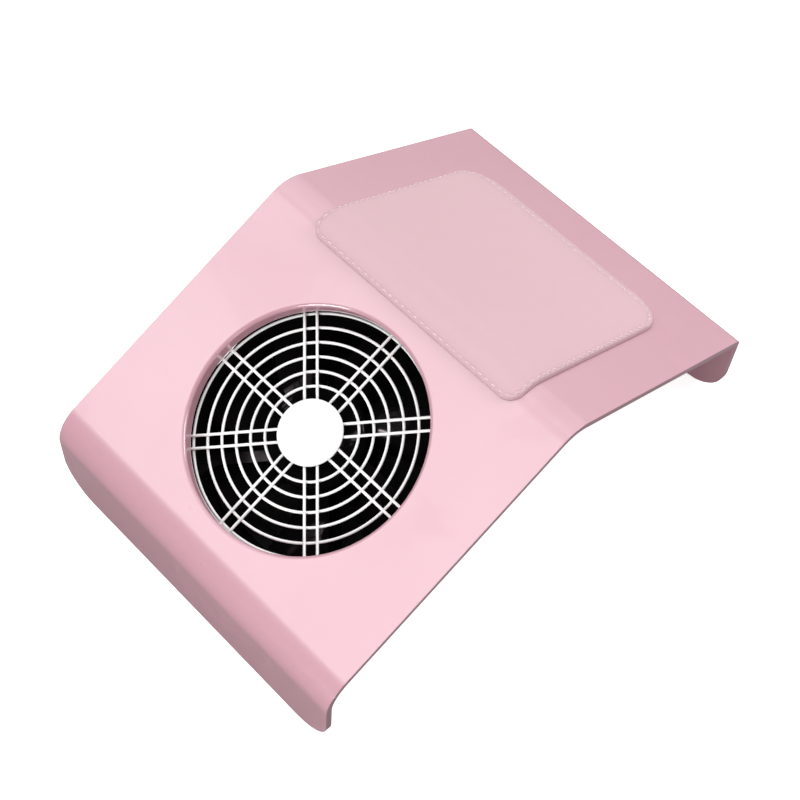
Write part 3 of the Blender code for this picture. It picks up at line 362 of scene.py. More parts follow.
def foam_look():
    look = Look("look_foam")
    pores = look.voronoi(900.0)
    # painted shade: the pores are darkened towards their middles
    light = look.ramp(pores, [(0.1, 0.0), (0.45, 1.0)])
    look.set(Base_Color=look.mix(light, (0.62, 0.59, 0.50), (0.84, 0.82, 0.75)))
    look.roughness(base=0.92, spread=0.04, scale=300.0)
    look.bump(pores, strength=0.8, distance=0.0006)
    return look.material


def circuit_look():
    look = Look("look_circuit_board")
    tracks = look.ramp(look.voronoi(160.0, 'DISTANCE_TO_EDGE'), [(0.05, 1.0), (0.09, 0.0)])
    colour = look.mix(look.noise(600.0), (0.010, 0.105, 0.040), (0.020, 0.150, 0.060))
    look.set(Base_Color=look.mix(look.part(tracks, 0.6), colour, (0.06, 0.30, 0.13)),
             Coat_Weight=0.5)
    look.roughness(base=0.35, spread=0.08, scale=300.0)
    look.bump(tracks, strength=0.3, distance=0.0002)
    return look.material


def copper_look():
    look = Look("look_copper_winding")
    turns = look.wave(260.0, look.mapping(rot=(0, 0.42, 0)), distortion=0.6, direction='Z')
    look.set(Base_Color=look.mix(turns, (0.34, 0.12, 0.04), (0.78, 0.36, 0.16)), Metallic=0.9)
    look.roughness(base=0.32, spread=0.06, scale=500.0)
    look.bump(turns, strength=0.7, distance=0.0005)
    return look.material


def core_look():
    """Stacked plates, in bands parallel to the front panel."""
    look = Look("look_laminations")
    bands = look.wave(300.0, look.mapping(rot=(-FRONT_RISE, 0, 0)), distortion=0.2,
                      direction='Z')
    look.set(Base_Color=look.mix(bands, (0.16, 0.16, 0.17), (0.42, 0.42, 0.44)), Metallic=0.85)
    look.roughness(base=0.42, spread=0.08, scale=400.0)
    look.bump(bands, strength=0.5, distance=0.0003)
    return look.material


def wire_look(name, rgb):
    look = Look(name)
    look.set(Base_Color=look.mix(look.noise(160.0), *tones(rgb, 0.8, 1.15)), Coat_Weight=0.2)
    look.roughness(base=0.42, spread=0.08, scale=300.0)
    look.bump(look.noise(1500.0, detail=2.0), strength=0.12, distance=0.0002)
    return look.material


SHELL_PINK = shell_look()
LEATHER = leather_look()
POWDER_WHITE = powder_coat_look()
FAN_BLACK = black_plastic_look("look_fan_black", (0.0045, 0.0042, 0.0046), rough=0.19)
BLADE_BLACK = black_plastic_look("look_blade_black", (0.0042, 0.0036, 0.0042), rough=0.13)
SWITCH_BLACK = plastic_look("look_switch_black", (0.012, 0.012, 0.013), rough=0.34,
                            grain=1600.0, grain_strength=0.15)
ROCKER_RED = plastic_look("look_rocker_red", (0.42, 0.012, 0.012), rough=0.22,
                          grain=1200.0, grain_strength=0.05, coat=0.3)
CLIP_WHITE = plastic_look("look_clip_white", (0.72, 0.72, 0.70), rough=0.45,
                          grain=1200.0, grain_strength=0.12, vary=0.05)
STEEL = metal_look("look_ground_steel", (0.60, 0.60, 0.62), rough=0.22,
                   brushed=(30, 2500, 2500))
ZINC = metal_look("look_zinc", (0.66, 0.67, 0.69), rough=0.26)
NICKEL = metal_look("look_nickel", (0.70, 0.69, 0.66), rough=0.18)
BRASS = metal_look("look_brass", (0.78, 0.60, 0.30), rough=0.26, brushed=(2200, 60, 2200))
MAGNET = metal_look("look_magnet", (0.11, 0.11, 0.12), rough=0.5)
THREAD = thread_look()
BAG_CLOTH = bag_look()
BAG_INSIDE = bag_inside_look()
ELASTIC = elastic_look()
FOAM = foam_look()
BACKING_BOARD = plastic_look("look_backing_board", (0.15, 0.11, 0.085), rough=0.85,
                             grain=500.0, grain_strength=0.4, specular=0.2)
CIRCUIT = circuit_look()
COPPER = copper_look()
CORE = core_look()
WIRE_RED = wire_look("look_wire_red", (0.50, 0.018, 0.014))
WIRE_BLACK = wire_look("look_wire_black", (0.014, 0.014, 0.015))


# ------------------------------------------------------------------ mesh helpers
DRAFTS = []  # working objects, removed when their piece is baked


def smooth_by_angle(mesh, degrees):
    mesh.polygons.foreach_set("use_smooth", [True] * len(mesh.polygons))
    mesh.set_sharp_from_angle(angle=radians(degrees))
    mesh.update()


def put(name, mesh, material, smooth=None):
    obj = bpy.data.objects.new(name, mesh)
    LOOKS.objects.link(obj)
    mesh.materials.clear()
    mesh.materials.append(material)
    if smooth is not None:
        smooth_by_angle(mesh, smooth)
    return obj


def draft(name, mesh, axes=IDENTITY):
    obj = bpy.data.objects.new(name, mesh)
    LOOKS.objects.link(obj)
    obj.matrix_world = axes
    DRAFTS.append(obj)
    return obj


def plain_mesh(name, bm):
    mesh = bpy.data.meshes.new(name)
    bm.to_mesh(mesh)
    bm.free()
    return mesh


def clean_mesh(name, bm):
    bmesh.ops.remove_doubles(bm, verts=bm.verts, dist=1e-6)
    bmesh.ops.recalc_face_normals(bm, faces=bm.faces)
    return plain_mesh(name, bm)


def bake(source, name, material, smooth):
    """Freeze a draft's modifiers into a plain mesh in the row frame, and clear the drafts."""
    bpy.context.view_layer.update()
    graph = bpy.context.evaluated_depsgraph_get()
    mesh = bpy.data.meshes.new_from_object(
        source.evaluated_get(graph), preserve_all_data_layers=False, depsgraph=graph)
    mesh.transform(source.matrix_world)
    obj = put(name, mesh, material, smooth)
    weighted = obj.modifiers.new("weighted_normals", 'WEIGHTED_NORMAL')
    weighted.keep_sharp = True
    weighted.weight = 60
    for item in DRAFTS:
        bpy.data.objects.remove(item, do_unlink=True)
    DRAFTS.clear()
    return obj


def hand_over(obj, replaces, rides="collector"):
    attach(obj, rides)
    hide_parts(replaces)


def spaced(start, end, steps):
    return [start + (end - start) * k / steps for k in range(steps + 1)]


def arc(cx, cy, r, start, end, steps):
    """Points on an arc between two angles in degrees."""
    return [(cx + r * cos(radians(a)), cy + r * sin(radians(a)))
            for a in spaced(start, end, steps)]


def rounded_rect(half_x, half_y, r, steps):
    points = []
    for k, (sx, sy) in enumerate(((1, -1), (1, 1), (-1, 1), (-1, -1))):
        points += arc(sx * (half_x - r), sy * (half_y - r), r, 90 * k - 90, 90 * k, steps)
    return points


def walk_rounded_rect(half_x, half_y, r, count):
    """Evenly spaced (x, y, heading) round a rounded rectangle, from its lower left."""
    width, depth, quarter = 2 * (half_x - r), 2 * (half_y - r), pi * r / 2
    length = 2 * width + 2 * depth + 4 * quarter
    points = []
    for i in range(count):
        left = length * i / count
        x, y, heading = -(half_x - r), -half_y, 0.0
        for straight in (width, depth, width, depth):
            step = min(left, straight)
            x += cos(heading) * step
            y += sin(heading) * step
            left -= step
            step = min(left, quarter)
            cx, cy = x - sin(heading) * r, y + cos(heading) * r
            heading += step / r
            x, y = cx + sin(heading) * r, cy - cos(heading) * r
            left -= step
        points.append((x, y, heading))
    return points


def join(bm, first, second):
    """Faces between two closed rows of vertices."""
    for k in range(len(first)):
        j = (k + 1) % len(first)
        bm.faces.new((first[k], first[j], second[j], second[k]))


def turned(name, profile, segments, axes):
    """Draft solid turned about Z from (r, z) points that start and end on the axis."""
    mesh = bpy.data.meshes.new(name)
    edges = [(i, i + 1) for i in range(len(profile) - 1)]
    mesh.from_pydata([(r * MM, 0, z * MM) for r, z in profile], edges, [])
    obj = draft(name, mesh, axes)
    screw = obj.modifiers.new("turn", 'SCREW')
    screw.steps = segments
    screw.render_steps = segments
    screw.use_merge_vertices = True
    screw.merge_threshold = 1e-6
    return obj


def prism(name, outline, z0, z1, axes=IDENTITY):
    """Draft solid from an (x, y) outline between two heights, the lower one first."""
    bm = bmesh.new()
    low = [bm.verts.new((x * MM, y * MM, z0 * MM)) for x, y in outline]
    high = [bm.verts.new((x * MM, y * MM, z1 * MM)) for x, y in outline]
    bm.faces.new(list(reversed(low)))
    bm.faces.new(high)
    join(bm, low, high)
    return draft(name, clean_mesh(name, bm), axes)


def box(name, low, high, axes=IDENTITY):
    (x0, y0, z0), (x1, y1, z1) = low, high
    return prism(name, [(x0, y0), (x1, y0), (x1, y1), (x0, y1)], z0, z1, axes)


def boolean(obj, other, operation='DIFFERENCE'):
    modifier = obj.modifiers.new(operation.lower(), 'BOOLEAN')
    modifier.operation = operation
    modifier.solver = 'EXACT'
    modifier.object = other


def bevel(obj, width, segments=3, angle=35):
    modifier = obj.modifiers.new("round", 'BEVEL')
    modifier.width = width * MM
    modifier.segments = segments
    modifier.limit_method = 'ANGLE'
    modifier.angle_limit = radians(angle)


def add_tube(bm, points, r, sides, cyclic=False):
    """Round tube along 3D points; its cross-section doesn't twist, and open ends are domed."""
    path = [Vector(p) for p in points]
    count = len(path)
    tangents = []
    for i in range(count):
        before = path[(i - 1) % count] if cyclic or i > 0 else path[i]
        after = path[(i + 1) % count] if cyclic or i < count - 1 else path[i]
        tangents.append((after - before).normalized())
    aside = Vector((0, 0, 1)) if abs(tangents[0].z) < 0.9 else Vector((1, 0, 0))
    u = tangents[0].cross(aside).normalized()
    sections = []  # centre, the two cross axes, radius
    for centre, tangent in zip(path, tangents):
        u = (u - tangent * u.dot(tangent)).normalized()
        sections.append((centre, u, tangent.cross(u).normalized(), r))
    if not cyclic:
        _, u0, v0, _ = sections[0]
        _, u1, v1, _ = sections[-1]
        domes = [(r * k, r * sqrt(1 - k * k)) for k in (0.985, 0.80, 0.45)]
        start = [(path[0] - tangents[0] * out, u0, v0, size) for out, size in domes]
        end = [(path[-1] + tangents[-1] * out, u1, v1, size) for out, size in domes[::-1]]
        sections = start + sections + end
    rings = []
    for centre, u, v, size in sections:
        turns = [2 * pi * k / sides for k in range(sides)]
        rings.append([bm.verts.new((centre + u * size * cos(a) + v * size * sin(a)) * MM)
                      for a in turns])
    for first, second in zip(rings, rings[1:]):
        join(bm, first, second)
    if cyclic:
        join(bm, rings[-1], rings[0])
    else:
        bm.faces.new(list(reversed(rings[0])))
        bm.faces.new(rings[-1])


def catmull_rom(points, steps):
    """Smooth 3D path through control points."""
    ctrl = [Vector(p) for p in points]
    ctrl = [ctrl[0] * 2 - ctrl[1]] + ctrl + [ctrl[-1] * 2 - ctrl[-2]]
    path = []
    for a, b, c, d in zip(ctrl, ctrl[1:], ctrl[2:], ctrl[3:]):
        for k in range(steps):
            t = k / steps
            path.append(0.5 * ((2 * b) + (c - a) * t + (2 * a - 5 * b + 4 * c - d) * t * t
                               + (3 * b - a - 3 * c + d) * t ** 3))
    path.append(ctrl[-2])
    return path


def running_lengths(points):
    lengths = [0.0]
    for a, b in zip(points, points[1:]):
        lengths.append(lengths[-1] + (b - a).length)
    return lengths


def locate(lengths, distance):
    """Segment index and the share of that segment at a distance along a path."""
    i = min(max(bisect_left(lengths, distance) - 1, 0), len(lengths) - 2)
    return i, (distance - lengths[i]) / (lengths[i + 1] - lengths[i])


# ------------------------------------------------------------------ shell profile
def bent_profile(corners, radii, steps):
    """Points of a filleted (y, z) polyline, and their exact outward normals."""
    points, normals = [Vector(corners[0])], [Vector((-1.0, 0.0))]
    for before, corner, after, r, count in zip(corners, corners[1:], corners[2:], radii, steps):
        corner = Vector(corner)
        u = (Vector(before) - corner).normalized()
        v = (Vector(after) - corner).normalized()
        half = u.angle(v) / 2
        centre = corner + (u + v).normalized() * (r / sin(half))
        start = corner + u * (r / tan(half)) - centre
        end = corner + v * (r / tan(half)) - centre
        a0 = math.atan2(start.y, start.x)
        sweep = (math.atan2(end.y, end.x) - a0 + pi) % (2 * pi) - pi
        for a in spaced(a0, a0 + sweep, count):
            normal = Vector((cos(a), sin(a)))
            points.append(centre + normal * r)
            normals.append(normal)
    return points + [Vector(corners[-1])], normals + [Vector((1.0, 0.0))]


PROFILE, NORMALS = bent_profile([FRONT_FOOT, FRONT_EDGE, APEX, REAR_EDGE, REAR_FOOT],
                                [BEND_FRONT, BEND_APEX, BEND_REAR], BEND_STEPS)
# s is the distance along the outer face from the front foot
PROFILE_S = running_lengths(PROFILE)
TOTAL_S = PROFILE_S[-1]
S_LEG_TOP = PROFILE_S[1]
S_PANEL_START = PROFILE_S[1 + FRONT_STEPS]
S_PANEL_END = PROFILE_S[2 + FRONT_STEPS]
S_REAR_START = PROFILE_S[2 + FRONT_STEPS + APEX_STEPS]
S_REAR_END = PROFILE_S[3 + FRONT_STEPS + APEX_STEPS]


def lifted(s, height):
    """(y, z) at a height above the shell's outer face."""
    i, share = locate(PROFILE_S, min(max(s, 0.0), TOTAL_S))
    normal = NORMALS[i].lerp(NORMALS[i + 1], share).normalized()
    point = PROFILE[i].lerp(PROFILE[i + 1], share) + normal * height
    return point.x, point.y


def s_front(distance):
    """s at a distance up the front panel from its sharp lower edge."""
    return S_PANEL_START + (distance - BEND_FRONT * tan((pi / 2 - FRONT_RISE) / 2))


def s_rear(distance):
    """s at a distance down the rear panel from the sharp apex."""
    return S_REAR_START + (distance - BEND_APEX * tan((FRONT_RISE + REAR_FALL) / 2))


def half_width(s):
    for r, distance in ((CORNER_FRONT, s), (CORNER_REAR, TOTAL_S - s)):
        if distance < r:
            return HALF_W - r + sqrt(max(0.0, r * r - (r - distance) ** 2))
    return HALF_W


# ------------------------------------------------------------------ shell
PATCH_HALF = 72.0  # half-width of the patch round the hole
PATCH_CELLS = 32
SIDE_COLUMNS = [77.5, 83.0, 89.0, HALF_W]
SQUEEZE_FROM = 70.0  # columns beyond this x follow the rounded leg corners
STATION_GAP = 0.28


def shell_stations(panel):
    """Rows of the shell's grid along s, thinned where they crowd."""
    wanted = PROFILE_S + panel
    for a in spaced(20.1, 90, 10):
        wanted.append(CORNER_FRONT * (1 - cos(radians(a))))
        wanted.append(TOTAL_S - CORNER_REAR * (1 - cos(radians(a))))
    wanted += spaced(S_REAR_START, S_REAR_END, 26)[1:-1]
    wanted += spaced(CORNER_FRONT + 2, S_LEG_TOP, 4)[1:-1]
    fixed = {round(s, 6) for s in PROFILE_S + panel}
    wanted = sorted({round(s, 6) for s in wanted})
    kept = [wanted[0]]
    for s in wanted[1:]:
        if s - kept[-1] >= STATION_GAP or s in fixed:
            kept.append(s)
    return kept


def sheet_point(x, s, height):
    if abs(x) > SQUEEZE_FROM:
        squeeze = (half_width(s) - SQUEEZE_FROM) / (HALF_W - SQUEEZE_FROM)
        x = math.copysign(SQUEEZE_FROM + (abs(x) - SQUEEZE_FROM) * squeeze, x)
    y, z = lifted(s, height)
    return x * MM, y * MM, z * MM


def patch_angles(flat):
    """Angles round the hole for the patch's border, part way to even spacing."""
    angles = []
    previous = math.atan2(flat[0][1], flat[0][0])
    for x, y in flat:
        a = math.atan2(y, x)
        while a < previous - 1e-6:
            a += 2 * pi
        previous = a
        angles.append(a)
    count = len(flat)
    mean = sum(a - 2 * pi * k / count for k, a in enumerate(angles)) / count
    return [0.45 * a + 0.55 * (mean + 2 * pi * k / count) for k, a in enumerate(angles)]


def collar_profile():
    """(r, z) from the rolled rim, down the bore and up the collar's outside."""
    outer = HOLE_R + COLLAR_WALL
    return arc(HOLE_R + RIM_R, -RIM_R, RIM_R, 90, 180, 12) + [
        (HOLE_R, -3.6), (HOLE_R, -5.5),
        (HOLE_R, COLLAR_BOTTOM + 0.5), (HOLE_R + 0.15, COLLAR_BOTTOM + 0.15),
        (HOLE_R + 0.5, COLLAR_BOTTOM), (outer - 0.5, COLLAR_BOTTOM),
        (outer - 0.15, COLLAR_BOTTOM + 0.15), (outer, COLLAR_BOTTOM + 0.5),
        (outer, -SHEET - 0.9), (outer + 0.12, -SHEET - 0.45),
        (outer + 0.45, -SHEET - 0.12), (outer + 0.9, -SHEET)]


def add_hole_patch(bm, border_top, border_low):
    """Turn the square opening of both skins into the round hole and its collar."""
    to_panel = PANEL.inverted()
    local = [to_panel @ v.co for v in border_top]
    flat = [(p.x / MM, p.y / MM) for p in local]
    angles = patch_angles(flat)

    def ring(points, z):
        return [bm.verts.new(PANEL @ Vector((x * MM, y * MM, z * MM))) for x, y in points]

    def skin(border, r, z):
        rows = [border]
        for share in (0.22, 0.44, 0.64, 0.81, 0.93, 1.0):
            rows.append(ring([(x + (r * cos(a) - x) * share, y + (r * sin(a) - y) * share)
                              for (x, y), a in zip(flat, angles)], z))
        return rows

    top = skin(border_top, HOLE_R + RIM_R + 1.3, 0.0)
    low = skin(border_low, HOLE_R + COLLAR_WALL + 1.6, -SHEET)
    for first, second in zip(top, top[1:]):
        join(bm, first, second)
    for first, second in zip(low, low[1:]):
        join(bm, second, first)
    last = top[-1]
    for r, z in collar_profile():
        row = ring([(r * cos(a), r * sin(a)) for a in angles], z)
        join(bm, last, row)
        last = row
    join(bm, last, low[-1])


def sheet_mesh():
    """Bent sheet on a regular grid, with the patch of the fan hole let into it."""
    n = PATCH_CELLS
    columns = ([-x for x in reversed(SIDE_COLUMNS)] + spaced(-PATCH_HALF, PATCH_HALF, n)
               + SIDE_COLUMNS)
    left = len(SIDE_COLUMNS)
    right = left + n
    panel = spaced(S_PANEL_START, S_PANEL_END, n)
    stations = shell_stations(panel)
    front = stations.index(round(panel[0], 6))
    rear = stations.index(round(panel[-1], 6))
    bm = bmesh.new()
    verts = {}

    def vert(side, i, j):
        """Grid vertex of the outer (0) or inner (1) skin."""
        if (side, i, j) not in verts:
            point = sheet_point(columns[j], stations[i], (0.0, -SHEET)[side])
            verts[side, i, j] = bm.verts.new(point)
        return verts[side, i, j]

    last_i, last_j = len(stations) - 1, len(columns) - 1
    for side in (0, 1):
        for i in range(last_i):
            for j in range(last_j):
                if front <= i < rear and left <= j < right:
                    continue
                quad = [vert(side, i, j), vert(side, i, j + 1),
                        vert(side, i + 1, j + 1), vert(side, i + 1, j)]
                bm.faces.new(quad if side == 0 else list(reversed(quad)))
    border = ([(front, j) for j in range(left, right)]
              + [(i, right) for i in range(front, rear)]
              + [(rear, j) for j in range(right, left, -1)]
              + [(i, left) for i in range(rear, front, -1)])
    add_hole_patch(bm, [vert(0, i, j) for i, j in border], [vert(1, i, j) for i, j in border])

    def edge_face(*corners):
        bm.faces.new([vert(*corner) for corner in corners])

    for i in range(last_i):
        edge_face((0, i, last_j), (1, i, last_j), (1, i + 1, last_j), (0, i + 1, last_j))
        edge_face((1, i, 0), (0, i, 0), (0, i + 1, 0), (1, i + 1, 0))
    for j in range(last_j):
        edge_face((0, 0, j + 1), (0, 0, j), (1, 0, j), (1, 0, j + 1))
        edge_face((0, last_i, j), (0, last_i, j + 1), (1, last_i, j + 1), (1, last_i, j))
    return clean_mesh("tmp_shell", bm)


def switch_box(name, half_x, half_z, y0, y1):
    """Block centred on the switch, from y0 to y1 beyond the rear leg's face."""
    return box(name, (SWITCH_X - half_x, LEG_Y + y0, SWITCH_Z - half_z),
               (SWITCH_X + half_x, LEG_Y + y1, SWITCH_Z + half_z))


def build_shell():
    shell = draft("tmp_shell", sheet_mesh())
    bevel(shell, 1.2, 5, 62)
    boss = [(0, -1.6), (BOSS_R + 0.15, -1.6), (BOSS_R + 0.15, -SHEET - 0.2),
            (BOSS_R, -SHEET - 0.6), (BOSS_R, BOSS_BOTTOM + 0.3), (BOSS_R - 0.3, BOSS_BOTTOM),
            (0, BOSS_BOTTOM)]
    for axes in at_screws(PANEL):
        boolean(shell, turned("tmp_boss", boss, 40, axes), 'UNION')
    pilot_r, pilot_end = SCREW_R + 0.3, -SHEET - 2.5
    pilot = [(0, -1.0), (pilot_r, -1.0), (pilot_r, pilot_end), (0, pilot_end)]
    for axes in at_screws(STACK):
        boolean(shell, turned("tmp_pilot", pilot, 32, axes))
    boolean(shell, switch_box("tmp_sw", 9.7, 6.7, -8, 5))
    jack_hole = [(0, 5), (4.3, 5), (4.3, -9), (0, -9)]
    boolean(shell, turned("tmp_jack", jack_hole, 64, JACK_AXES))
    return bake(shell, "shell_moulding", SHELL_PINK, 32)


hand_over(build_shell(), "top_shell")

# ------------------------------------------------------------------ hand-rest pad
PAD_HALF = 66.4
PAD_START, PAD_END = s_front(150.1), s_rear(120.3)
PAD_R_FRONT, PAD_R_REAR = 8.0, 20.0
# the seam's distance inside the pad's edge, its corner radii and its height
SEAM_FRONT, SEAM_SIDE, SEAM_REAR = 1.9, 1.7, 7.2
SEAM_R_FRONT, SEAM_R_REAR = 6.0, 14.0
SEAM_H = 2.9
PITCH = 4.1
PAD_RIM_H = 0.35


def pad_outline(blend, inset=0.0):
    """Half-width, front, rear and the two corner radii of a loop from edge (0) to seam (1)."""
    return (PAD_HALF - blend * SEAM_SIDE - inset,
            PAD_START + blend * SEAM_FRONT + inset,
            PAD_END - blend * SEAM_REAR - inset,
            max(1.5, PAD_R_FRONT + (SEAM_R_FRONT - PAD_R_FRONT) * blend - inset),
            max(1.5, PAD_R_REAR + (SEAM_R_REAR - PAD_R_REAR) * blend - inset))


def side_points(outline, side, steps):
    """Evenly spaced (x, s) points from one corner's middle to the next, and their length.

    Sides run front, right, rear, left."""
    half, front, rear, r_front, r_rear = outline
    corners = [(-(half - r_front), front + r_front, r_front),
               (half - r_front, front + r_front, r_front),
               (half - r_rear, rear - r_rear, r_rear),
               (-(half - r_rear), rear - r_rear, r_rear)]

    def on_corner(k, degrees):
        x, s, r = corners[k]
        return Vector((x + r * cos(radians(degrees)), s + r * sin(radians(degrees))))

    begin, end = side, (side + 1) % 4
    heading = 270 + 90 * side
    line_start, line_end = on_corner(begin, heading), on_corner(end, heading)
    first = corners[begin][2] * pi / 4
    line = (line_end - line_start).length
    last = corners[end][2] * pi / 4
    total = first + line + last
    points = []
    for distance in spaced(0.0, total, steps):
        if distance <= first:
            points.append(on_corner(begin, heading - 45 + 45 * distance / first))
        elif distance <= first + line:
            points.append(line_start.lerp(line_end, (distance - first) / line))
        else:
            share = min(1.0, (distance - first - line) / last)
            points.append(on_corner(end, heading + 45 * share))
    return points, total


def inside(x, s, outline):
    """Distance inside a loop."""
    half, front, rear, r_front, r_rear = outline
    middle = (front + rear) / 2
    r = r_front if s < middle else r_rear
    dx, ds = abs(x) - (half - r), abs(s - middle) - ((rear - front) / 2 - r)
    return r - (sqrt(max(dx, 0) ** 2 + max(ds, 0) ** 2) + min(max(dx, ds), 0.0))


EDGE, SEAM = pad_outline(0.0), pad_outline(1.0)
SIDE_LENGTHS = [side_points(SEAM, side, 4)[1] for side in range(4)]
SEAM_LENGTH = sum(SIDE_LENGTHS)
STITCHES = int(round(SEAM_LENGTH / PITCH))


def pad_height(x, s, along=None):
    """Leather height above the shell; along is the distance round the seam, if on a loop."""
    from_edge, from_seam = max(inside(x, s, EDGE), 0.0), inside(x, s, SEAM)
    if from_seam < 0:
        # border between edge and seam: steeper where it is narrow
        border = from_edge - from_seam
        share = from_edge / max(1e-6, border)
        steep = 0.85 + 0.95 * min(1.0, max(0.0, (5.5 - border) / 3.0))
        height = (PAD_RIM_H + steep * (1 - exp(-from_edge / 0.36))
                  + (2.55 - steep) * share ** 0.9)
    else:
        height = (SEAM_H + 0.85 * (1 - exp(-from_seam / 2.4))
                  + 0.55 * (1 - exp(-max(0.0, from_seam - 2.0) / 15.0)))
    # groove under the seam, with a dimple for each stitch
    height -= 0.26 * exp(-(from_seam / 0.75) ** 2)
    if along is not None:
        ripple = cos(2 * pi * along * STITCHES / SEAM_LENGTH)
        height -= 0.10 * ripple * exp(-(from_seam / 1.5) ** 2)
    # broad and small unevenness, fading out at the edge
    fade = min(1.0, from_edge / 3.0)
    height += fade * 0.10 * noise.noise(Vector((x * 0.040, s * 0.040, 3.1)))
    height += fade * 0.05 * noise.noise(Vector((x * 0.15, s * 0.15, 9.7)))
    return height


def add_pad_skin(bm, loops, steps, height, rim=None):
    """Skin through (blend, inset) loops from the rim inward, closed by a grid.

    height takes x, s, the distance along the seam and the loop. Returns the first loop."""
    def vert(x, s, h):
        y, z = lifted(s, h)
        return bm.verts.new((x * MM, y * MM, z * MM))

    rows = [rim] if rim else []
    for loop in loops:
        outline = pad_outline(*loop)
        sides = [side_points(outline, side, steps)[0] for side in range(4)]
        row = []
        start = 0.0
        for points, length in zip(sides, SIDE_LENGTHS):
            for i, (x, s) in enumerate(points[:-1]):
                row.append(vert(x, s, height(x, s, start + length * i / steps, loop)))
            start += length
        if rows:
            join(bm, rows[-1], row)
        rows.append(row)

    # grid inside the last loop, blended from its four sides
    n, last = steps, rows[-1]
    front, right, rear, left = sides[0], sides[1], sides[2][::-1], sides[3][::-1]
    grid = {}
    for i in range(n):
        grid[i, 0] = last[i]
        grid[n, i] = last[n + i]
        grid[n - i, n] = last[2 * n + i]
        grid[0, n - i] = last[3 * n + i]
    for i in range(1, n):
        for j in range(1, n):
            u, v = i / n, j / n
            p = (front[i] * (1 - v) + rear[i] * v + left[j] * (1 - u) + right[j] * u
                 - front[0] * (1 - u) * (1 - v) - front[n] * u * (1 - v)
                 - rear[0] * (1 - u) * v - rear[n] * u * v)
            grid[i, j] = vert(p.x, p.y, height(p.x, p.y, None, None))
    for i in range(n):
        for j in range(n):
            bm.faces.new((grid[i, j], grid[i + 1, j], grid[i + 1, j + 1], grid[i, j + 1]))
    return rows[0]


def build_pad():
    steps = 110
    blends = (0.0, 0.02, 0.06, 0.12, 0.2, 0.3, 0.42, 0.55, 0.67, 0.77, 0.85, 0.91, 0.96, 1.0)
    insets = (0.25, 0.5, 0.8, 1.2, 1.8, 2.6, 3.6, 5.0)
    top_loops = [(blend, 0.0) for blend in blends] + [(1.0, inset) for inset in insets]
    under_loops = [(0.0, 1.2), (0.5, 1.1), (1.0, 1.0), (1.3, 1.0)]

    def top(x, s, along, loop):
        return PAD_RIM_H if loop == top_loops[0] else pad_height(x, s, along)

    def under(x, s, along, loop):
        return PAD_RIM_H if loop == under_loops[0] else max(1.15, pad_height(x, s) - 0.95)

    bm = bmesh.new()
    rim = add_pad_skin(bm, top_loops, steps, top)
    add_pad_skin(bm, under_loops, steps, under, rim)
    return put("pad_leather_cover", clean_mesh("pad_leather", bm), LEATHER, 60)


def build_pad_layer(name, material, edge, shoulder, bottom, top):
    """Flat-bottomed layer under the leather; edge and shoulder are (blend, inset) loops."""
    bm = bmesh.new()
    rim = add_pad_skin(bm, [edge, shoulder], 28,
                       lambda x, s, along, loop: bottom if loop == edge else top(x, s))
    add_pad_skin(bm, [(edge[0], edge[1] + 1.0)], 28, lambda x, s, along, loop: bottom, rim)
    return put(name, clean_mesh(name, bm), material, 40)


def build_stitches():
    points = []
    for side in range(4):
        points += side_points(SEAM, side, 300)[0][:-1]
    points.append(points[0])
    lengths = running_lengths(points)
    step, half = lengths[-1] / STITCHES, 0.95
    bm = bmesh.new()
    for k in range(STITCHES):
        path = []
        for t in spaced(-1.0, 1.0, 8):
            along = (k + 0.5) * step + half * t
            i, share = locate(lengths, along)
            x, s = points[i].lerp(points[i + 1], share)
            y, z = lifted(s, pad_height(x, s, along) + 0.26 - 0.62 * abs(t) ** 3.5)
            path.append((x, y, z))
        add_tube(bm, path, 0.28, 8)
    return put("pad_stitching", clean_mesh("pad_stitching", bm), THREAD, 80)


hand_over(build_pad(), "pad_cover")
hand_over(build_pad_layer("pad_foam_layer", FOAM, (1.0, 1.6), (1.2, 2.4), 1.25,
                          lambda x, s: min(2.45, pad_height(x, s) - 1.3)),
          "pad_foam")
hand_over(build_pad_layer("pad_backing_sheet", BACKING_BOARD, (0.45, 2.6), (0.45, 2.75), 0.4,
                          lambda x, s: 0.95),
          "pad_backing")
hand_over(build_stitches(), "pad_thread")

# ------------------------------------------------------------------ finger guard
WIRE_R = 0.70
GUARD_RINGS = [12.5] + [22.8 + 7.08 * k for k in range(6)]
RING_Z, SPOKE_Z = -6.05, -4.85
SPOKE_START, SPOKE_HALF_GAP = 10.6, 3.1
EYE_SPOKE_END, SHORT_SPOKE_END, SHORT_SPOKE_BEND = 74.1, 59.9, 1.9
BADGE_R = 16.1


def turn_xy(x, y, angle):
    return x * cos(angle) - y * sin(angle), x * sin(angle) + y * cos(angle)


def spoke_outline(with_eye):
    """(x, y) of a wire that runs out, round the end and back again."""
    gap = SPOKE_HALF_GAP
    if with_eye:
        end = EYE_SPOKE_END
        lead = [(SPOKE_START, -gap), (end - 4.5, -gap), (end - 2.5, -gap)]
        tip = [(end - 1.0 + 4.2075 * cos(a), gap * sin(a))
               for a in spaced(-pi / 2, pi / 2, 16)[1:-1]]
    else:
        end, r = SHORT_SPOKE_END, SHORT_SPOKE_BEND
        lead = [(SPOKE_START, -gap), (end - 2.2, -gap)]
        tip = [(x, y + (gap - r) * ((k > 6) - (k < 6)))
               for k, (x, y) in enumerate(arc(end - r, 0.0, r, -90, 90, 12))]
    return lead + tip + [(x, -y) for x, y in reversed(lead)]


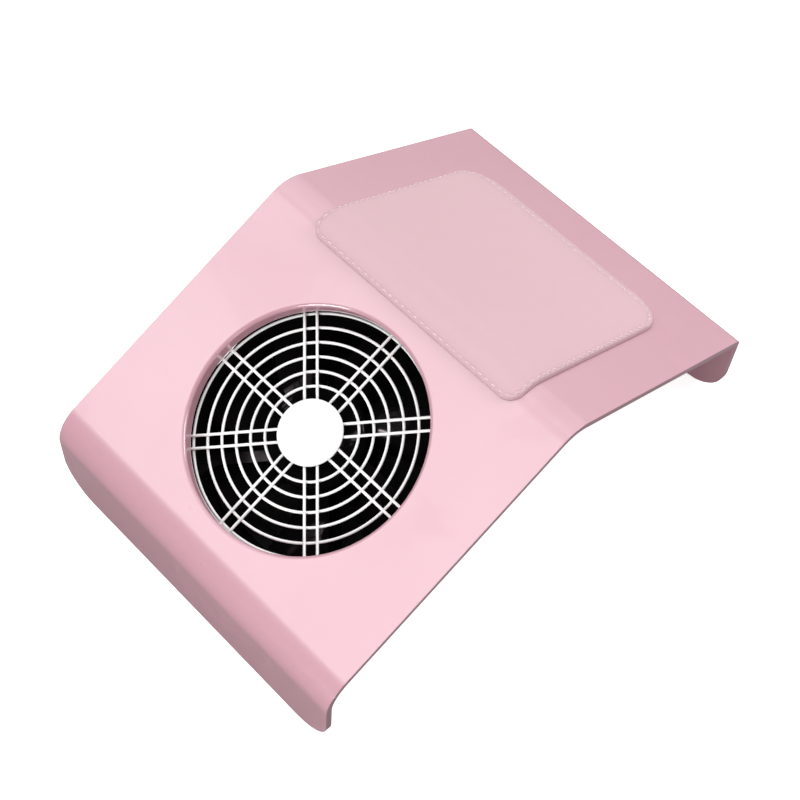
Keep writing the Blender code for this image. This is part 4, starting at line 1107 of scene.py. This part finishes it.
def build_guard():
    bm = bmesh.new()
    for r in GUARD_RINGS:
        count = max(48, int(r * 3.2))
        turns = [2 * pi * k / count for k in range(count)]
        add_tube(bm, [(r * cos(a), r * sin(a), RING_Z) for a in turns], WIRE_R, 12, cyclic=True)
    welds = []
    for k in range(8):
        angle = radians(45 * k)
        outline = spoke_outline(with_eye=k % 2 == 1)
        add_tube(bm, [(*turn_xy(x, y, angle), SPOKE_Z) for x, y in outline], WIRE_R, 12)
        for r in GUARD_RINGS:
            for y in (-SPOKE_HALF_GAP, SPOKE_HALF_GAP):
                welds.append(turn_xy(sqrt(r * r - y * y), y, angle))
    # flattened weld beads where wires cross
    for x, y in welds:
        bead = bmesh.ops.create_icosphere(bm, subdivisions=2, radius=0.98 * MM)
        for v in bead["verts"]:
            v.co.z *= 0.62
            v.co += Vector((x * MM, y * MM, (RING_Z + SPOKE_Z) / 2 * MM))
    mesh = plain_mesh("guard_wires", bm)
    mesh.transform(STACK)
    return put("guard_wires", mesh, POWDER_WHITE, 60)


def build_badge():
    z = SPOKE_Z + WIRE_R
    profile = ([(0, z + 1.55), (10, z + 1.53), (14.2, z + 1.45)]
               + arc(BADGE_R - 0.7, z + 0.72, 0.7, 90, 0, 8)
               + [(BADGE_R, z + 0.36), (BADGE_R - 0.3, z + 0.32), (0, z + 0.32)])
    return bake(turned("tmp_badge", profile, 128, STACK), "guard_centre_disc", POWDER_WHITE, 40)


hand_over(build_guard(), "finger_guard")
hand_over(build_badge(), "guard_badge")

# ------------------------------------------------------------------ fan frame
FAN_BORE, FAN_WALL_R = 57.5, 59.6
FLANGE_T = 4.2
PLATE_TOP = FAN_BOTTOM + 3.4  # disc and struts that carry the bearing tube
TUBE_TOP = -17.5


def build_frame():
    top, bottom = FAN_TOP, FAN_BOTTOM
    flange = rounded_rect(FAN_HALF, FAN_HALF, FAN_CORNER, 10)
    body = prism("tmp_frame", flange, top - FLANGE_T, top, STACK)
    wall = [(0, top - 1), (FAN_WALL_R, top - 1), (FAN_WALL_R, bottom + 1), (0, bottom + 1)]
    boolean(body, turned("tmp_wall", wall, 128, STACK), 'UNION')
    boolean(body, prism("tmp_low", flange, bottom, bottom + FLANGE_T, STACK), 'UNION')
    pad = [(0, top + 1.15), (4.6, top + 1.15), (4.6, top - 1), (0, top - 1)]
    for axes in at_screws(STACK):
        boolean(body, turned("tmp_pad", pad, 40, axes), 'UNION')
    bore = ([(0, top + 3), (FAN_BORE + 1.6, top + 3), (FAN_BORE + 1.5, top + 0.6)]
            + arc(FAN_BORE + 1.2, top - 1.2, 1.2, 100, 180, 8)
            + [(FAN_BORE, bottom + 1.5), (FAN_BORE + 1.0, bottom - 0.2),
               (FAN_BORE + 1.0, bottom - 3), (0, bottom - 3)])
    boolean(body, turned("tmp_bore", bore, 160, STACK))
    hole = [(0, top + 4), (2.15, top + 4), (2.15, bottom - 4), (0, bottom - 4)]
    for axes in at_screws(STACK):
        boolean(body, turned("tmp_hole", hole, 32, axes))
    plate = [(0, PLATE_TOP), (21.2, PLATE_TOP), (22.0, PLATE_TOP - 0.8), (22.0, bottom + 0.6),
             (21.4, bottom), (0, bottom)]
    boolean(body, turned("tmp_plate", plate, 96, STACK), 'UNION')
    strut_end = FAN_BORE + 1.4
    strut = [(18.0, -2.6), (strut_end, -2.9), (strut_end, 2.9), (18.0, 2.6)]
    for k in range(4):
        axes = STACK @ Matrix.Rotation(radians(45 + 90 * k), 4, 'Z')
        boolean(body, prism("tmp_strut", strut, bottom + 0.02, PLATE_TOP - 0.02, axes), 'UNION')
    tube = [(0, TUBE_TOP), (5.2, TUBE_TOP), (5.6, TUBE_TOP - 0.4), (5.6, bottom + 1),
            (0, bottom + 1)]
    boolean(body, turned("tmp_tube", tube, 64, STACK), 'UNION')
    tube_bore = [(0, TUBE_TOP + 2), (4.3, TUBE_TOP + 2), (4.3, -23.0), (3.2, -23.0),
                 (3.2, -34.0), (4.3, -34.0), (4.3, bottom - 2), (0, bottom - 2)]
    boolean(body, turned("tmp_tbore", tube_bore, 64, STACK))
    return bake(body, "fan_housing", FAN_BLACK, 32)


hand_over(build_frame(), "fan_frame")

# ------------------------------------------------------------------ impeller
HUB_R, HUB_WALL, HUB_TOP, HUB_BOTTOM = 25.0, 1.8, -10.0, -35.5
HUB_ROUND = 4.0
BLADES, BLADE_TIP = 7, 56.0
BLADE_ROOT = HUB_R - 1.0
BLADE_Z = (HUB_TOP + HUB_BOTTOM) / 2 - 0.3
# radius, pitch in degrees, chord
BLADE_STATIONS = [
    (BLADE_ROOT, 42.0, 19.5), (32.0, 36.0, 23.5), (40.0, 31.0, 26.8),
    (48.0, 27.0, 29.0), (BLADE_TIP, 24.0, 30.5)]


def blade_section(r):
    """Pitch in radians and chord at a radius."""
    for (r0, pitch0, chord0), (r1, pitch1, chord1) in zip(BLADE_STATIONS, BLADE_STATIONS[1:]):
        if r <= r1 + 1e-9:
            break
    share = (r - r0) / (r1 - r0)
    return radians(pitch0 + (pitch1 - pitch0) * share), chord0 + (chord1 - chord0) * share


def blade_mesh(angle):
    bm = bmesh.new()
    rows = []
    shares = spaced(0.0, 1.0, 14)
    outline = [(1, t) for t in shares] + [(-1, 1 - t) for t in shares]
    for r in spaced(BLADE_ROOT, BLADE_TIP, 16):
        pitch, chord = blade_section(r)
        sweep = 0.18 * (r - HUB_R) / (BLADE_TIP - HUB_R)
        row = []
        for side, t in outline:
            thin_ends = 0.55 + 0.45 * min(1.0, min(t, 1 - t) * 12)
            half_thick = (0.42 + 0.55 * sin(pi * t)) * thin_ends
            camber = 4 * t * (1 - t) * chord * 0.07
            tangential, z = turn_xy((t - 0.5) * chord, camber + side * half_thick, pitch)
            a = angle + tangential / r - sweep
            row.append(bm.verts.new((r * cos(a) * MM, r * sin(a) * MM, (BLADE_Z + z) * MM)))
        rows.append(row)
    for first, second in zip(rows, rows[1:]):
        join(bm, first, second)
    n = len(outline)
    for row in (rows[0], rows[-1]):
        for i in range(n // 2 - 1):
            bm.faces.new((row[i], row[i + 1], row[n - 2 - i], row[n - 1 - i]))
    return clean_mesh("tmp_blade", bm)


def build_impeller():
    top, inner = HUB_TOP, HUB_R - HUB_WALL
    hub = ([(0, top), (HUB_R - 5.0, top - 0.02)]
           + arc(HUB_R - HUB_ROUND, top - HUB_ROUND, HUB_ROUND, 90, 0, 10)
           + [(HUB_R, HUB_BOTTOM + 0.4), (HUB_R - 0.4, HUB_BOTTOM), (inner, HUB_BOTTOM),
              (inner, top - 4.2), (HUB_R - 4.2, top - 2.2), (4.2, top - 2.2),
              (4.2, top - 5.6), (1.85, top - 5.6), (1.85, top - 1.6), (0, top - 1.6)])
    wheel = turned("tmp_hub", hub, 128, STACK)
    for k in range(BLADES):
        blade = draft("tmp_blade", blade_mesh(2 * pi * k / BLADES), STACK)
        boolean(wheel, blade, 'UNION')
    return bake(wheel, "fan_wheel", BLADE_BLACK, 38)


hand_over(build_impeller(), "impeller", rides="fan_rotor")

# ------------------------------------------------------------------ fan screws
HEAD_Z = FAN_TOP - FLANGE_T - 0.3  # seat of the head, which hangs below it
HEAD_R, HEAD_RIM, HEAD_DOME = 3.3, 0.9, 1.3


def build_screw(number, axes):
    profile = [(0, -1.35), (SCREW_R - 0.7, -1.35), (SCREW_R - 0.35, -2.1)]
    z = -2.1
    while z > HEAD_Z + 0.9:
        profile += [(SCREW_R, z - 0.25), (SCREW_R - 0.3, z - 0.55)]
        z -= 0.6
    rim = HEAD_Z - HEAD_RIM
    profile += [(SCREW_R, HEAD_Z), (HEAD_R, HEAD_Z), (HEAD_R, rim)]
    profile += [(HEAD_R * cos(a), rim - HEAD_DOME * sin(a))
                for a in spaced(0.0, pi / 2, 6)[1:-1]]
    profile.append((0.0, rim - HEAD_DOME))
    screw = turned("tmp_screw", profile, 40, axes)
    for half_x, half_y in ((0.42, 1.7), (1.7, 0.42)):
        boolean(screw, box("tmp_cross", (-half_x, -half_y, HEAD_Z - 3.0),
                           (half_x, half_y, HEAD_Z - 1.0), axes))
    return bake(screw, "screw_%d" % number, ZINC, 35)


for number, axes in enumerate(at_screws(STACK), 1):
    hand_over(build_screw(number, axes), "fan_screw_%d" % number)


# ------------------------------------------------------------------ switch and jack
def build_switch():
    body = switch_box("tmp_sw_body", 9.4, 6.4, -15.0, 0.8)
    bezel = rounded_rect(10.9, 7.9, 1.0, 6)
    boolean(body, prism("tmp_bezel", bezel, 0.3, 2.0, SWITCH_AXES), 'UNION')
    boolean(body, switch_box("tmp_pocket", 7.9, 4.9, -6.0, 6.0))
    bevel(body, 0.35)
    return bake(body, "switch_body", SWITCH_BLACK, 35)


def build_rocker():
    """Key with a hollowed outer face, tilted about Z."""
    half, tilt = 7.2, radians(9.0)
    outline = [(-half, 2.6), (-6.9, -1.8), (-2.4, -4.4), (2.4, -4.4), (6.9, -1.8), (half, 2.6)]
    for x in spaced(half, -half, 12)[1:-1]:
        outline.append((x, 1.45 + 1.15 * (abs(x) / half) ** 1.7))
    tilted = [turn_xy(x, y, tilt) for x, y in outline]
    mirrored = [(-x, y) for x, y in reversed(tilted)]
    key = prism("tmp_rocker", mirrored, -4.5, 4.5, shift(SWITCH_X, LEG_Y + 0.4, SWITCH_Z))
    bevel(key, 0.35, 3, 30)
    return bake(key, "rocker_key", ROCKER_RED, 35)


def build_jack():
    barrel = 3.95
    profile = ([(0, -9.0), (2.8, -9.0), (2.8, 1.5), (3.1, 1.9), (5.1, 1.9)]
               + arc(5.1, 1.4, 0.5, 90, 0, 6)[1:] + [(5.6, 0.3), (barrel, 0.3)])
    z = -0.5
    while z > -8.0:
        profile += [(barrel, z), (3.7, z - 0.25), (barrel, z - 0.5)]
        z -= 0.6
    profile += [(barrel, -12.0), (0, -12.0)]
    return bake(turned("tmp_jackbody", profile, 72, JACK_AXES), "jack_body", SWITCH_BLACK, 35)


def build_jack_nut():
    hexagon = arc(0, 0, 6.3, 0, 300, 5)
    nut = prism("tmp_nut", hexagon, -SHEET - 2.5, -SHEET - 0.3, JACK_AXES)
    bevel(nut, 0.3, 2, 40)
    boolean(nut, turned("tmp_nuth", [(0, 0), (4.25, 0), (4.25, -9), (0, -9)], 64, JACK_AXES))
    return bake(nut, "jack_ring_nut", NICKEL, 35)


hand_over(build_switch(), "switch_housing")
hand_over(build_rocker(), "switch_rocker", rides="rocker")
hand_over(build_jack(), "power_jack")
hand_over(build_jack_nut(), "jack_nut")

# ------------------------------------------------------------------ wiring
LEAD_R = 0.85
CLIP_X = -2.0
CLIPS_AT = (48.0, 100.0)  # down the rear panel from the apex
FAN_EXIT = tuple(c / MM for c in STACK @ Vector((0, (FAN_HALF + 0.6) * MM, -17.0 * MM)))


def under_rear(x, distance, gap):
    """Point below the rear panel, a distance down it from the apex."""
    depth = SHEET + gap
    return (x, APEX[0] + distance * cos(REAR_FALL) - depth * sin(REAR_FALL),
            APEX[1] - distance * sin(REAR_FALL) - depth * cos(REAR_FALL))


def through_clips(x):
    """Start of a lead: out of the fan and along the rear panel through both clips."""
    _, y, z = FAN_EXIT
    return [(x, y, z), (x, y + 10, z + 3), under_rear(x, 26, 1.75),
            under_rear(x, CLIPS_AT[0], 1.75), under_rear(x, CLIPS_AT[1], 1.75)]


LEFT_LEAD_X, RIGHT_LEAD_X = CLIP_X - 1.35, CLIP_X + 1.35
LEAD_PATHS = {
    "switched": through_clips(LEFT_LEAD_X) + [
        under_rear(LEFT_LEAD_X, 116, 1.9), (-24.0, LEG_Y - 30, 38.0),
        (SWITCH_X + 4.0, LEG_Y - 27, SWITCH_Z + 2), (SWITCH_X + 4.0, LEG_Y - 22.7, SWITCH_Z)],
    "return": through_clips(RIGHT_LEAD_X) + [
        under_rear(RIGHT_LEAD_X, 118, 1.9), (-20.0, LEG_Y - 22, 36.0),
        (JACK_X + 2.0, LEG_Y - 17, JACK_Z + 3), (JACK_X + 2.0, LEG_Y - 13.2, JACK_Z)],
    "supply": [
        (JACK_X - 2.0, LEG_Y - 13.2, JACK_Z), (JACK_X - 2.5, LEG_Y - 19, JACK_Z - 1),
        (SWITCH_X - 4.0, LEG_Y - 32, SWITCH_Z - 4), (SWITCH_X - 4.0, LEG_Y - 27, SWITCH_Z - 1),
        (SWITCH_X - 4.0, LEG_Y - 22.7, SWITCH_Z)],
}
# saddle section: a channel between two feet
CLIP_OUTLINE = [
    (-6.0, -0.3), (-6.0, -1.5), (-3.6, -1.5), (-3.6, -4.2), (3.6, -4.2), (3.6, -1.5),
    (6.0, -1.5), (6.0, -0.3), (2.6, -0.3), (2.6, -3.2), (-2.6, -3.2), (-2.6, -0.3)]


def build_lead(name, material):
    bm = bmesh.new()
    add_tube(bm, catmull_rom(LEAD_PATHS[name], 10), LEAD_R, 14)
    return put("lead_" + name, clean_mesh("wire_" + name, bm), material, 60)


def build_clip(number, distance):
    axes = (shift(*under_rear(CLIP_X, distance, 0.0)) @ Matrix.Rotation(-REAR_FALL, 4, 'X')
            @ Matrix.Rotation(pi / 2, 4, 'X'))
    clip = prism("tmp_clip", CLIP_OUTLINE, -3.0, 3.0, axes)
    bevel(clip, 0.25, 2)
    return bake(clip, "wire_saddle_%d" % number, CLIP_WHITE, 35)


for name, material, slot in (("switched", WIRE_RED, "wire_red"),
                             ("return", WIRE_BLACK, "wire_black"),
                             ("supply", WIRE_RED, "wire_red")):
    hand_over(build_lead(name, material), "wire_" + name)
for number, distance in enumerate(CLIPS_AT, 1):
    hand_over(build_clip(number, distance), "cable_clip_%d" % number)

# ------------------------------------------------------------------ dust bag
MOUTH_HALF = FAN_HALF + 0.4 + 0.9  # clearance round the fan, and the cloth's allowance
MOUTH_CORNER = FAN_CORNER + 1.3
BAG_COUNT = 132  # vertices round a ring
TO_STACK = STACK.inverted()


def stack_yz(y, z):
    point = STACK @ Vector((0, y * MM, z * MM))
    return point.y / MM, point.z / MM


# one end and the other of each section as (y, z), its half-width and its corner radius,
# from the mouth to the rear
BAG_SECTIONS = [
    (stack_yz(-MOUTH_HALF, -33.5), stack_yz(MOUTH_HALF, -33.5), MOUTH_HALF, MOUTH_CORNER),
    (stack_yz(-MOUTH_HALF, -44.5), stack_yz(MOUTH_HALF, -44.5), MOUTH_HALF, MOUTH_CORNER),
    ((-104.0, 8.3), (15.5, 61.5), 63.0, 12.0),
    ((-88.0, 5.2), (32.0, 64.5), 66.0, 20.0),
    ((-45.0, 5.0), (52.0, 66.0), 69.0, 22.0),
    ((5.0, 5.0), (72.0, 61.0), 69.5, 22.0),
    ((48.0, 5.5), (88.0, 53.0), 68.0, 20.0),
    ((78.0, 8.5), (98.0, 42.0), 64.0, 14.0),
    ((93.0, 17.0), (101.0, 32.0), 60.0, 6.0),
]


def bag_ring(t):
    """Ring of points at a place t, counted in sections."""
    i = min(int(t), len(BAG_SECTIONS) - 2)
    share = t - i
    low0, high0, half0, corner0 = BAG_SECTIONS[i]
    low1, high1, half1, corner1 = BAG_SECTIONS[i + 1]
    low = Vector(low0).lerp(Vector(low1), share)
    high = Vector(high0).lerp(Vector(high1), share)
    half_x = half0 + (half1 - half0) * share
    corner = corner0 + (corner1 - corner0) * share
    middle = (low + high) / 2
    half_y = (high - low).length / 2
    direction = (high - low).normalized()
    r = max(0.6, min(corner, half_y * 0.9, half_x * 0.9))
    points = []
    for x, y, _ in walk_rounded_rect(half_x, half_y, r, BAG_COUNT):
        p = middle + direction * y
        points.append(Vector((x, p.x, p.y)))
    return points


def bag_mesh():
    places = [0.0, 0.25, 0.5, 0.75, 1.0, 1.12, 1.3, 1.5, 1.75, 2.0]
    places += [2 + k / 9 for k in range(1, 9 * (len(BAG_SECTIONS) - 3) + 1)]
    bm = bmesh.new()
    rows = [[bm.verts.new(p * MM) for p in bag_ring(t)] for t in places]
    for first, second in zip(rows, rows[1:]):
        join(bm, first, second)
    # close the rear end across its height; the two end faces are triangles
    last = rows[-1]
    for i in range(BAG_COUNT // 2):
        corners = (last[i], last[i + 1], last[BAG_COUNT - 1 - i],
                   last[(BAG_COUNT - i) % BAG_COUNT])
        bm.faces.new(list(dict.fromkeys(corners)))
    return clean_mesh("bag_cage", bm)


def stack_z(point):
    return (TO_STACK @ point).z / MM


def stiffness(point):
    """1 at the mouth, falling to 0 down the bag."""
    return min(1.0, max(0.0, (stack_z(point) + 60) / 12.5))


def simulate_bag(obj):
    """Vertex places after the cloth is blown up from inside, held at the mouth."""
    pin = obj.vertex_groups.new(name="pin")
    for v in obj.data.vertices:
        weight = stiffness(v.co)
        if weight > 0:
            pin.add([v.index], weight, 'REPLACE')
    cloth = obj.modifiers.new("cloth", 'CLOTH')
    settings = cloth.settings
    settings.quality = 6
    settings.mass = 0.2
    settings.tension_stiffness = 12
    settings.compression_stiffness = 12
    settings.shear_stiffness = 4
    settings.bending_stiffness = 0.25
    settings.use_pressure = True
    settings.uniform_pressure_force = 1.1
    settings.vertex_group_mass = "pin"
    settings.shrink_min = -0.035
    cloth.collision_settings.use_collision = False
    cloth.collision_settings.use_self_collision = False
    settings.effector_weights.gravity = 0.35
    cloth.point_cache.frame_start = 1
    cloth.point_cache.frame_end = 20
    for step in range(1, 21):
        scene.frame_set(step)
    evaluated = obj.evaluated_get(bpy.context.evaluated_depsgraph_get())
    places = [v.co.copy() for v in evaluated.to_mesh().vertices]
    evaluated.to_mesh_clear()
    obj.modifiers.remove(cloth)
    scene.frame_set(1)
    return places


def build_bag():
    mesh = bag_mesh()
    obj = put("dust_bag_cloth", mesh, BAG_CLOTH)
    rest = [v.co.copy() for v in mesh.vertices]
    blown = simulate_bag(obj)
    most = 5.0 * MM
    for v, start, end in zip(mesh.vertices, rest, blown):
        move = end - start
        if move.length > most:
            move = move.normalized() * most
        # gentle slack in the cloth, and creases fanning from the mouth
        p = start / MM
        slack = noise.noise(Vector((p.x * 0.055, p.y * 0.016, p.z * 0.05)))
        wrinkle = noise.noise(Vector((p.x * 0.13 + 4, p.y * 0.035, p.z * 0.12)))
        near_mouth = exp(-max(0.0, -stack_z(start) - 47) / 22.0)
        crease = sin(p.x * 0.36 + 1.3 * slack) * near_mouth
        # the normal is read here because it follows the vertices moved so far
        out = v.normal * ((1.3 * slack + 0.7 * wrinkle + 0.9 * crease - 0.9) * MM)
        v.co = start + (move + out) * (1.0 - stiffness(start))
    # keep the bag off the table
    for v in mesh.vertices:
        if v.co.z < 2.2 * MM:
            v.co.z = 2.2 * MM
    # the inner skin takes the nearly black inside look: dust and painted shade
    mesh.materials.append(BAG_INSIDE)
    thickness = obj.modifiers.new("cloth_thickness", 'SOLIDIFY')
    thickness.material_offset = 1
    thickness.thickness = 0.6 * MM
    thickness.offset = -1
    subdivision = obj.modifiers.new("smooth", 'SUBSURF')
    subdivision.levels = 1
    subdivision.render_levels = 1
    smooth_by_angle(mesh, 70)
    return obj


# band section: distance out from the bag, z, and 1 where the ribs stand out
ELASTIC_SECTION = [
    (0.0, -35.3, 0), (0.0, -38.7, 0), (0.25, -39.0, 0), (0.55, -38.9, 1), (0.8, -38.3, 1),
    (0.82, -37.0, 1), (0.8, -35.7, 1), (0.55, -35.1, 1), (0.25, -35.0, 0)]
ELASTIC_GAP = 0.35
RIB_HEIGHT, RIB_STEPS = 0.16, 4


def build_elastic():
    """Ribbed band round the bag's mouth."""
    half = MOUTH_HALF + ELASTIC_GAP
    bm = bmesh.new()
    rows = []
    around = walk_rounded_rect(half, half, MOUTH_CORNER + ELASTIC_GAP, 480)
    for i, (x, y, heading) in enumerate(around):
        rib = RIB_HEIGHT * (1 + cos(2 * pi * i / RIB_STEPS)) / 2
        row = []
        for out, z, ribbed in ELASTIC_SECTION:
            out += rib * ribbed
            row.append(bm.verts.new(((x + sin(heading) * out) * MM,
                                     (y - cos(heading) * out) * MM, z * MM)))
        rows.append(row)
    for first, second in zip(rows, rows[1:] + rows[:1]):
        for j in range(len(first)):
            k = (j + 1) % len(first)
            bm.faces.new((first[j], second[j], second[k], first[k]))
    mesh = clean_mesh("elastic", bm)
    mesh.transform(STACK)
    return put("bag_mouth_elastic", mesh, ELASTIC, 50)


hand_over(build_bag(), "dust_bag", rides="bag")
hand_over(build_elastic(), "bag_elastic", rides="bag")

# ------------------------------------------------------------------ materials of the CAD pieces
CAD_LOOKS = (
    (CORE, ("stator_core",)),
    (COPPER, ("coil_front", "coil_rear", "coil_left", "coil_right")),
    (CIRCUIT, ("fan_circuit_board",)),
    (STEEL, ("bearing_upper", "bearing_lower", "bearing_spring", "rotor_shaft", "shaft_clip")),
    (MAGNET, ("rotor_magnet",)),
    (BRASS, ("switch_terminal_1", "switch_terminal_2")),
    (NICKEL, ("jack_pin",)),
    (FOAM, ("pad_foam",)),
    (BACKING_BOARD, ("pad_backing",)),
)
for material, names in CAD_LOOKS:
    for name in names:
        for material_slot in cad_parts[name].material_slots:
            material_slot.material = material


# ------------------------------------------------------------------ floor
def floor_look():
    """Pale to the camera and dim to bounced light; clear from below."""
    look = Look("floor_pale")
    to_camera = look.node("ShaderNodeLightPath").outputs["Is Camera Ray"]
    seen = look.mix(look.noise(3.0, detail=2.0), (0.80, 0.80, 0.80), (0.84, 0.84, 0.84))
    look.set(Roughness=0.95, Specular_IOR_Level=0.0, Emission_Color=(1, 1, 1),
             Base_Color=look.mix(to_camera, (0.19, 0.19, 0.19), seen),
             Emission_Strength=look.part(to_camera, 0.78))
    one_sided = look.node("ShaderNodeMixShader", {
        0: look.node("ShaderNodeNewGeometry").outputs["Backfacing"],
        1: look.shader.outputs[0],
        2: look.node("ShaderNodeBsdfTransparent").outputs[0]})
    look.feed(look.tree.nodes["Material Output"].inputs["Surface"], one_sided.outputs[0])
    return look.material


def build_floor():
    bm = bmesh.new()
    bmesh.ops.create_grid(bm, x_segments=1, y_segments=1, size=6.0)
    floor = bpy.data.objects.new("floor", plain_mesh("floor", bm))
    scene.collection.objects.link(floor)
    floor.location = (0, 0, -0.0004)
    floor.data.materials.append(floor_look())
    return floor


build_floor()

# ------------------------------------------------------------------ world
# A curved tent of light over the -X side: its strength against the angle in degrees from the
# zenith, positive towards the rear (+Y).
TENT = [
    (-110, 0.2), (-75, 0.2), (-55, 0.35), (-45, 0.7), (-39, 1.8), (-34, 3.2), (-28, 3.5),
    (-20, 3.1), (-12, 2.3), (-2, 2.1), (14, 2.4), (36, 1.9), (62, 1.4), (78, 1.0),
    (86, 0.45), (92, 0.2), (112, 0.1)]
# share of that strength from -X (0) to +X (1)
TENT_ACROSS = [(0.0, 0.10), (0.12, 0.35), (0.20, 1.0), (0.43, 1.0), (0.54, 0.35),
               (0.72, 0.10), (1.0, 0.08)]
TENT_SCALE = 5.0  # keeps the ramp's values below one
ROOM_STRENGTH = 0.22


def build_world():
    """White to the camera; the tent in a dim room to everything else."""
    world = bpy.data.worlds.new("studio") if scene.world is None else scene.world
    scene.world = world
    world.use_nodes = True
    world.node_tree.nodes.clear()
    sky = Nodes(world.node_tree, "Generated")
    axes = sky.node("ShaderNodeSeparateXYZ", {0: sky.place}).outputs
    angle = sky.math('ARCTAN2', axes["Y"], axes["Z"])
    along = sky.ramp(sky.math('MULTIPLY_ADD', angle, 1 / (2 * pi), 0.5),
                     [((a + 180) / 360, v / TENT_SCALE) for a, v in TENT], 'EASE')
    across = sky.ramp(sky.math('MULTIPLY_ADD', axes["X"], 0.5, 0.5), TENT_ACROSS, 'EASE')
    # soft folds vary the cloth's brightness
    folds = sky.math('MULTIPLY_ADD', sky.noise(6.0, detail=2.0, rough=0.5), 0.5, 0.75)
    tent = sky.math('MULTIPLY', sky.math('MULTIPLY', along, across),
                    sky.math('MULTIPLY', folds, TENT_SCALE))
    room = sky.node("ShaderNodeBackground", {"Strength": sky.math('ADD', tent, ROOM_STRENGTH)})
    white = sky.node("ShaderNodeBackground", {"Strength": 1.0, "Color": (1, 1, 1)})
    mix = sky.node("ShaderNodeMixShader", {
        0: sky.node("ShaderNodeLightPath").outputs["Is Camera Ray"],
        1: room.outputs[0], 2: white.outputs[0]})
    sky.node("ShaderNodeOutputWorld", {"Surface": mix.outputs[0]})


build_world()

# ------------------------------------------------------------------ lights and camera (metres)
LIGHT_TARGET = Vector((0, -0.02, 0.07))


def area_light(name, direction, distance, width, height, radiance):
    """Rectangle of a given radiance, aimed at the product."""
    light = bpy.data.lights.new(name, 'AREA')
    light.shape = 'RECTANGLE'
    light.size = width
    light.size_y = height
    light.energy = radiance * pi * width * height
    obj = bpy.data.objects.new(name, light)
    scene.collection.objects.link(obj)
    obj.location = LIGHT_TARGET + Vector(direction).normalized() * distance
    obj.rotation_euler = (LIGHT_TARGET - obj.location).to_track_quat('-Z', 'Y').to_euler()


def build_camera():
    """Camera above the front edge, turned by its own up and backward directions."""
    data = bpy.data.cameras.new("camera")
    camera = bpy.data.objects.new("camera", data)
    scene.collection.objects.link(camera)
    data.sensor_width = 36.0
    data.lens = 71.46
    data.clip_start = 0.01
    back = Vector((0.3536, -0.3964, 0.8472)).normalized()
    up = Vector((-0.6266, 0.5720, 0.5292))
    up = (up - back * up.dot(back)).normalized()
    turn = Matrix((up.cross(back), up, back)).transposed().to_4x4()
    front_edge = Vector((0, FRONT_EDGE[0] * MM, FRONT_EDGE[1] * MM))
    place = front_edge + Vector((0.2780, -0.1746, 0.6552))
    camera.matrix_world = Matrix.Translation(place) @ turn
    scene.camera = camera


area_light("softbox_back_top", direction=(0.5, 0.6, 0.62), distance=1.3,
           width=0.6, height=0.6, radiance=6.5)
area_light("softbox_front", direction=(0.2, -0.97, 0.09), distance=1.2,
           width=0.5, height=0.22, radiance=26.0)
build_camera()

bpy.context.view_layer.update()
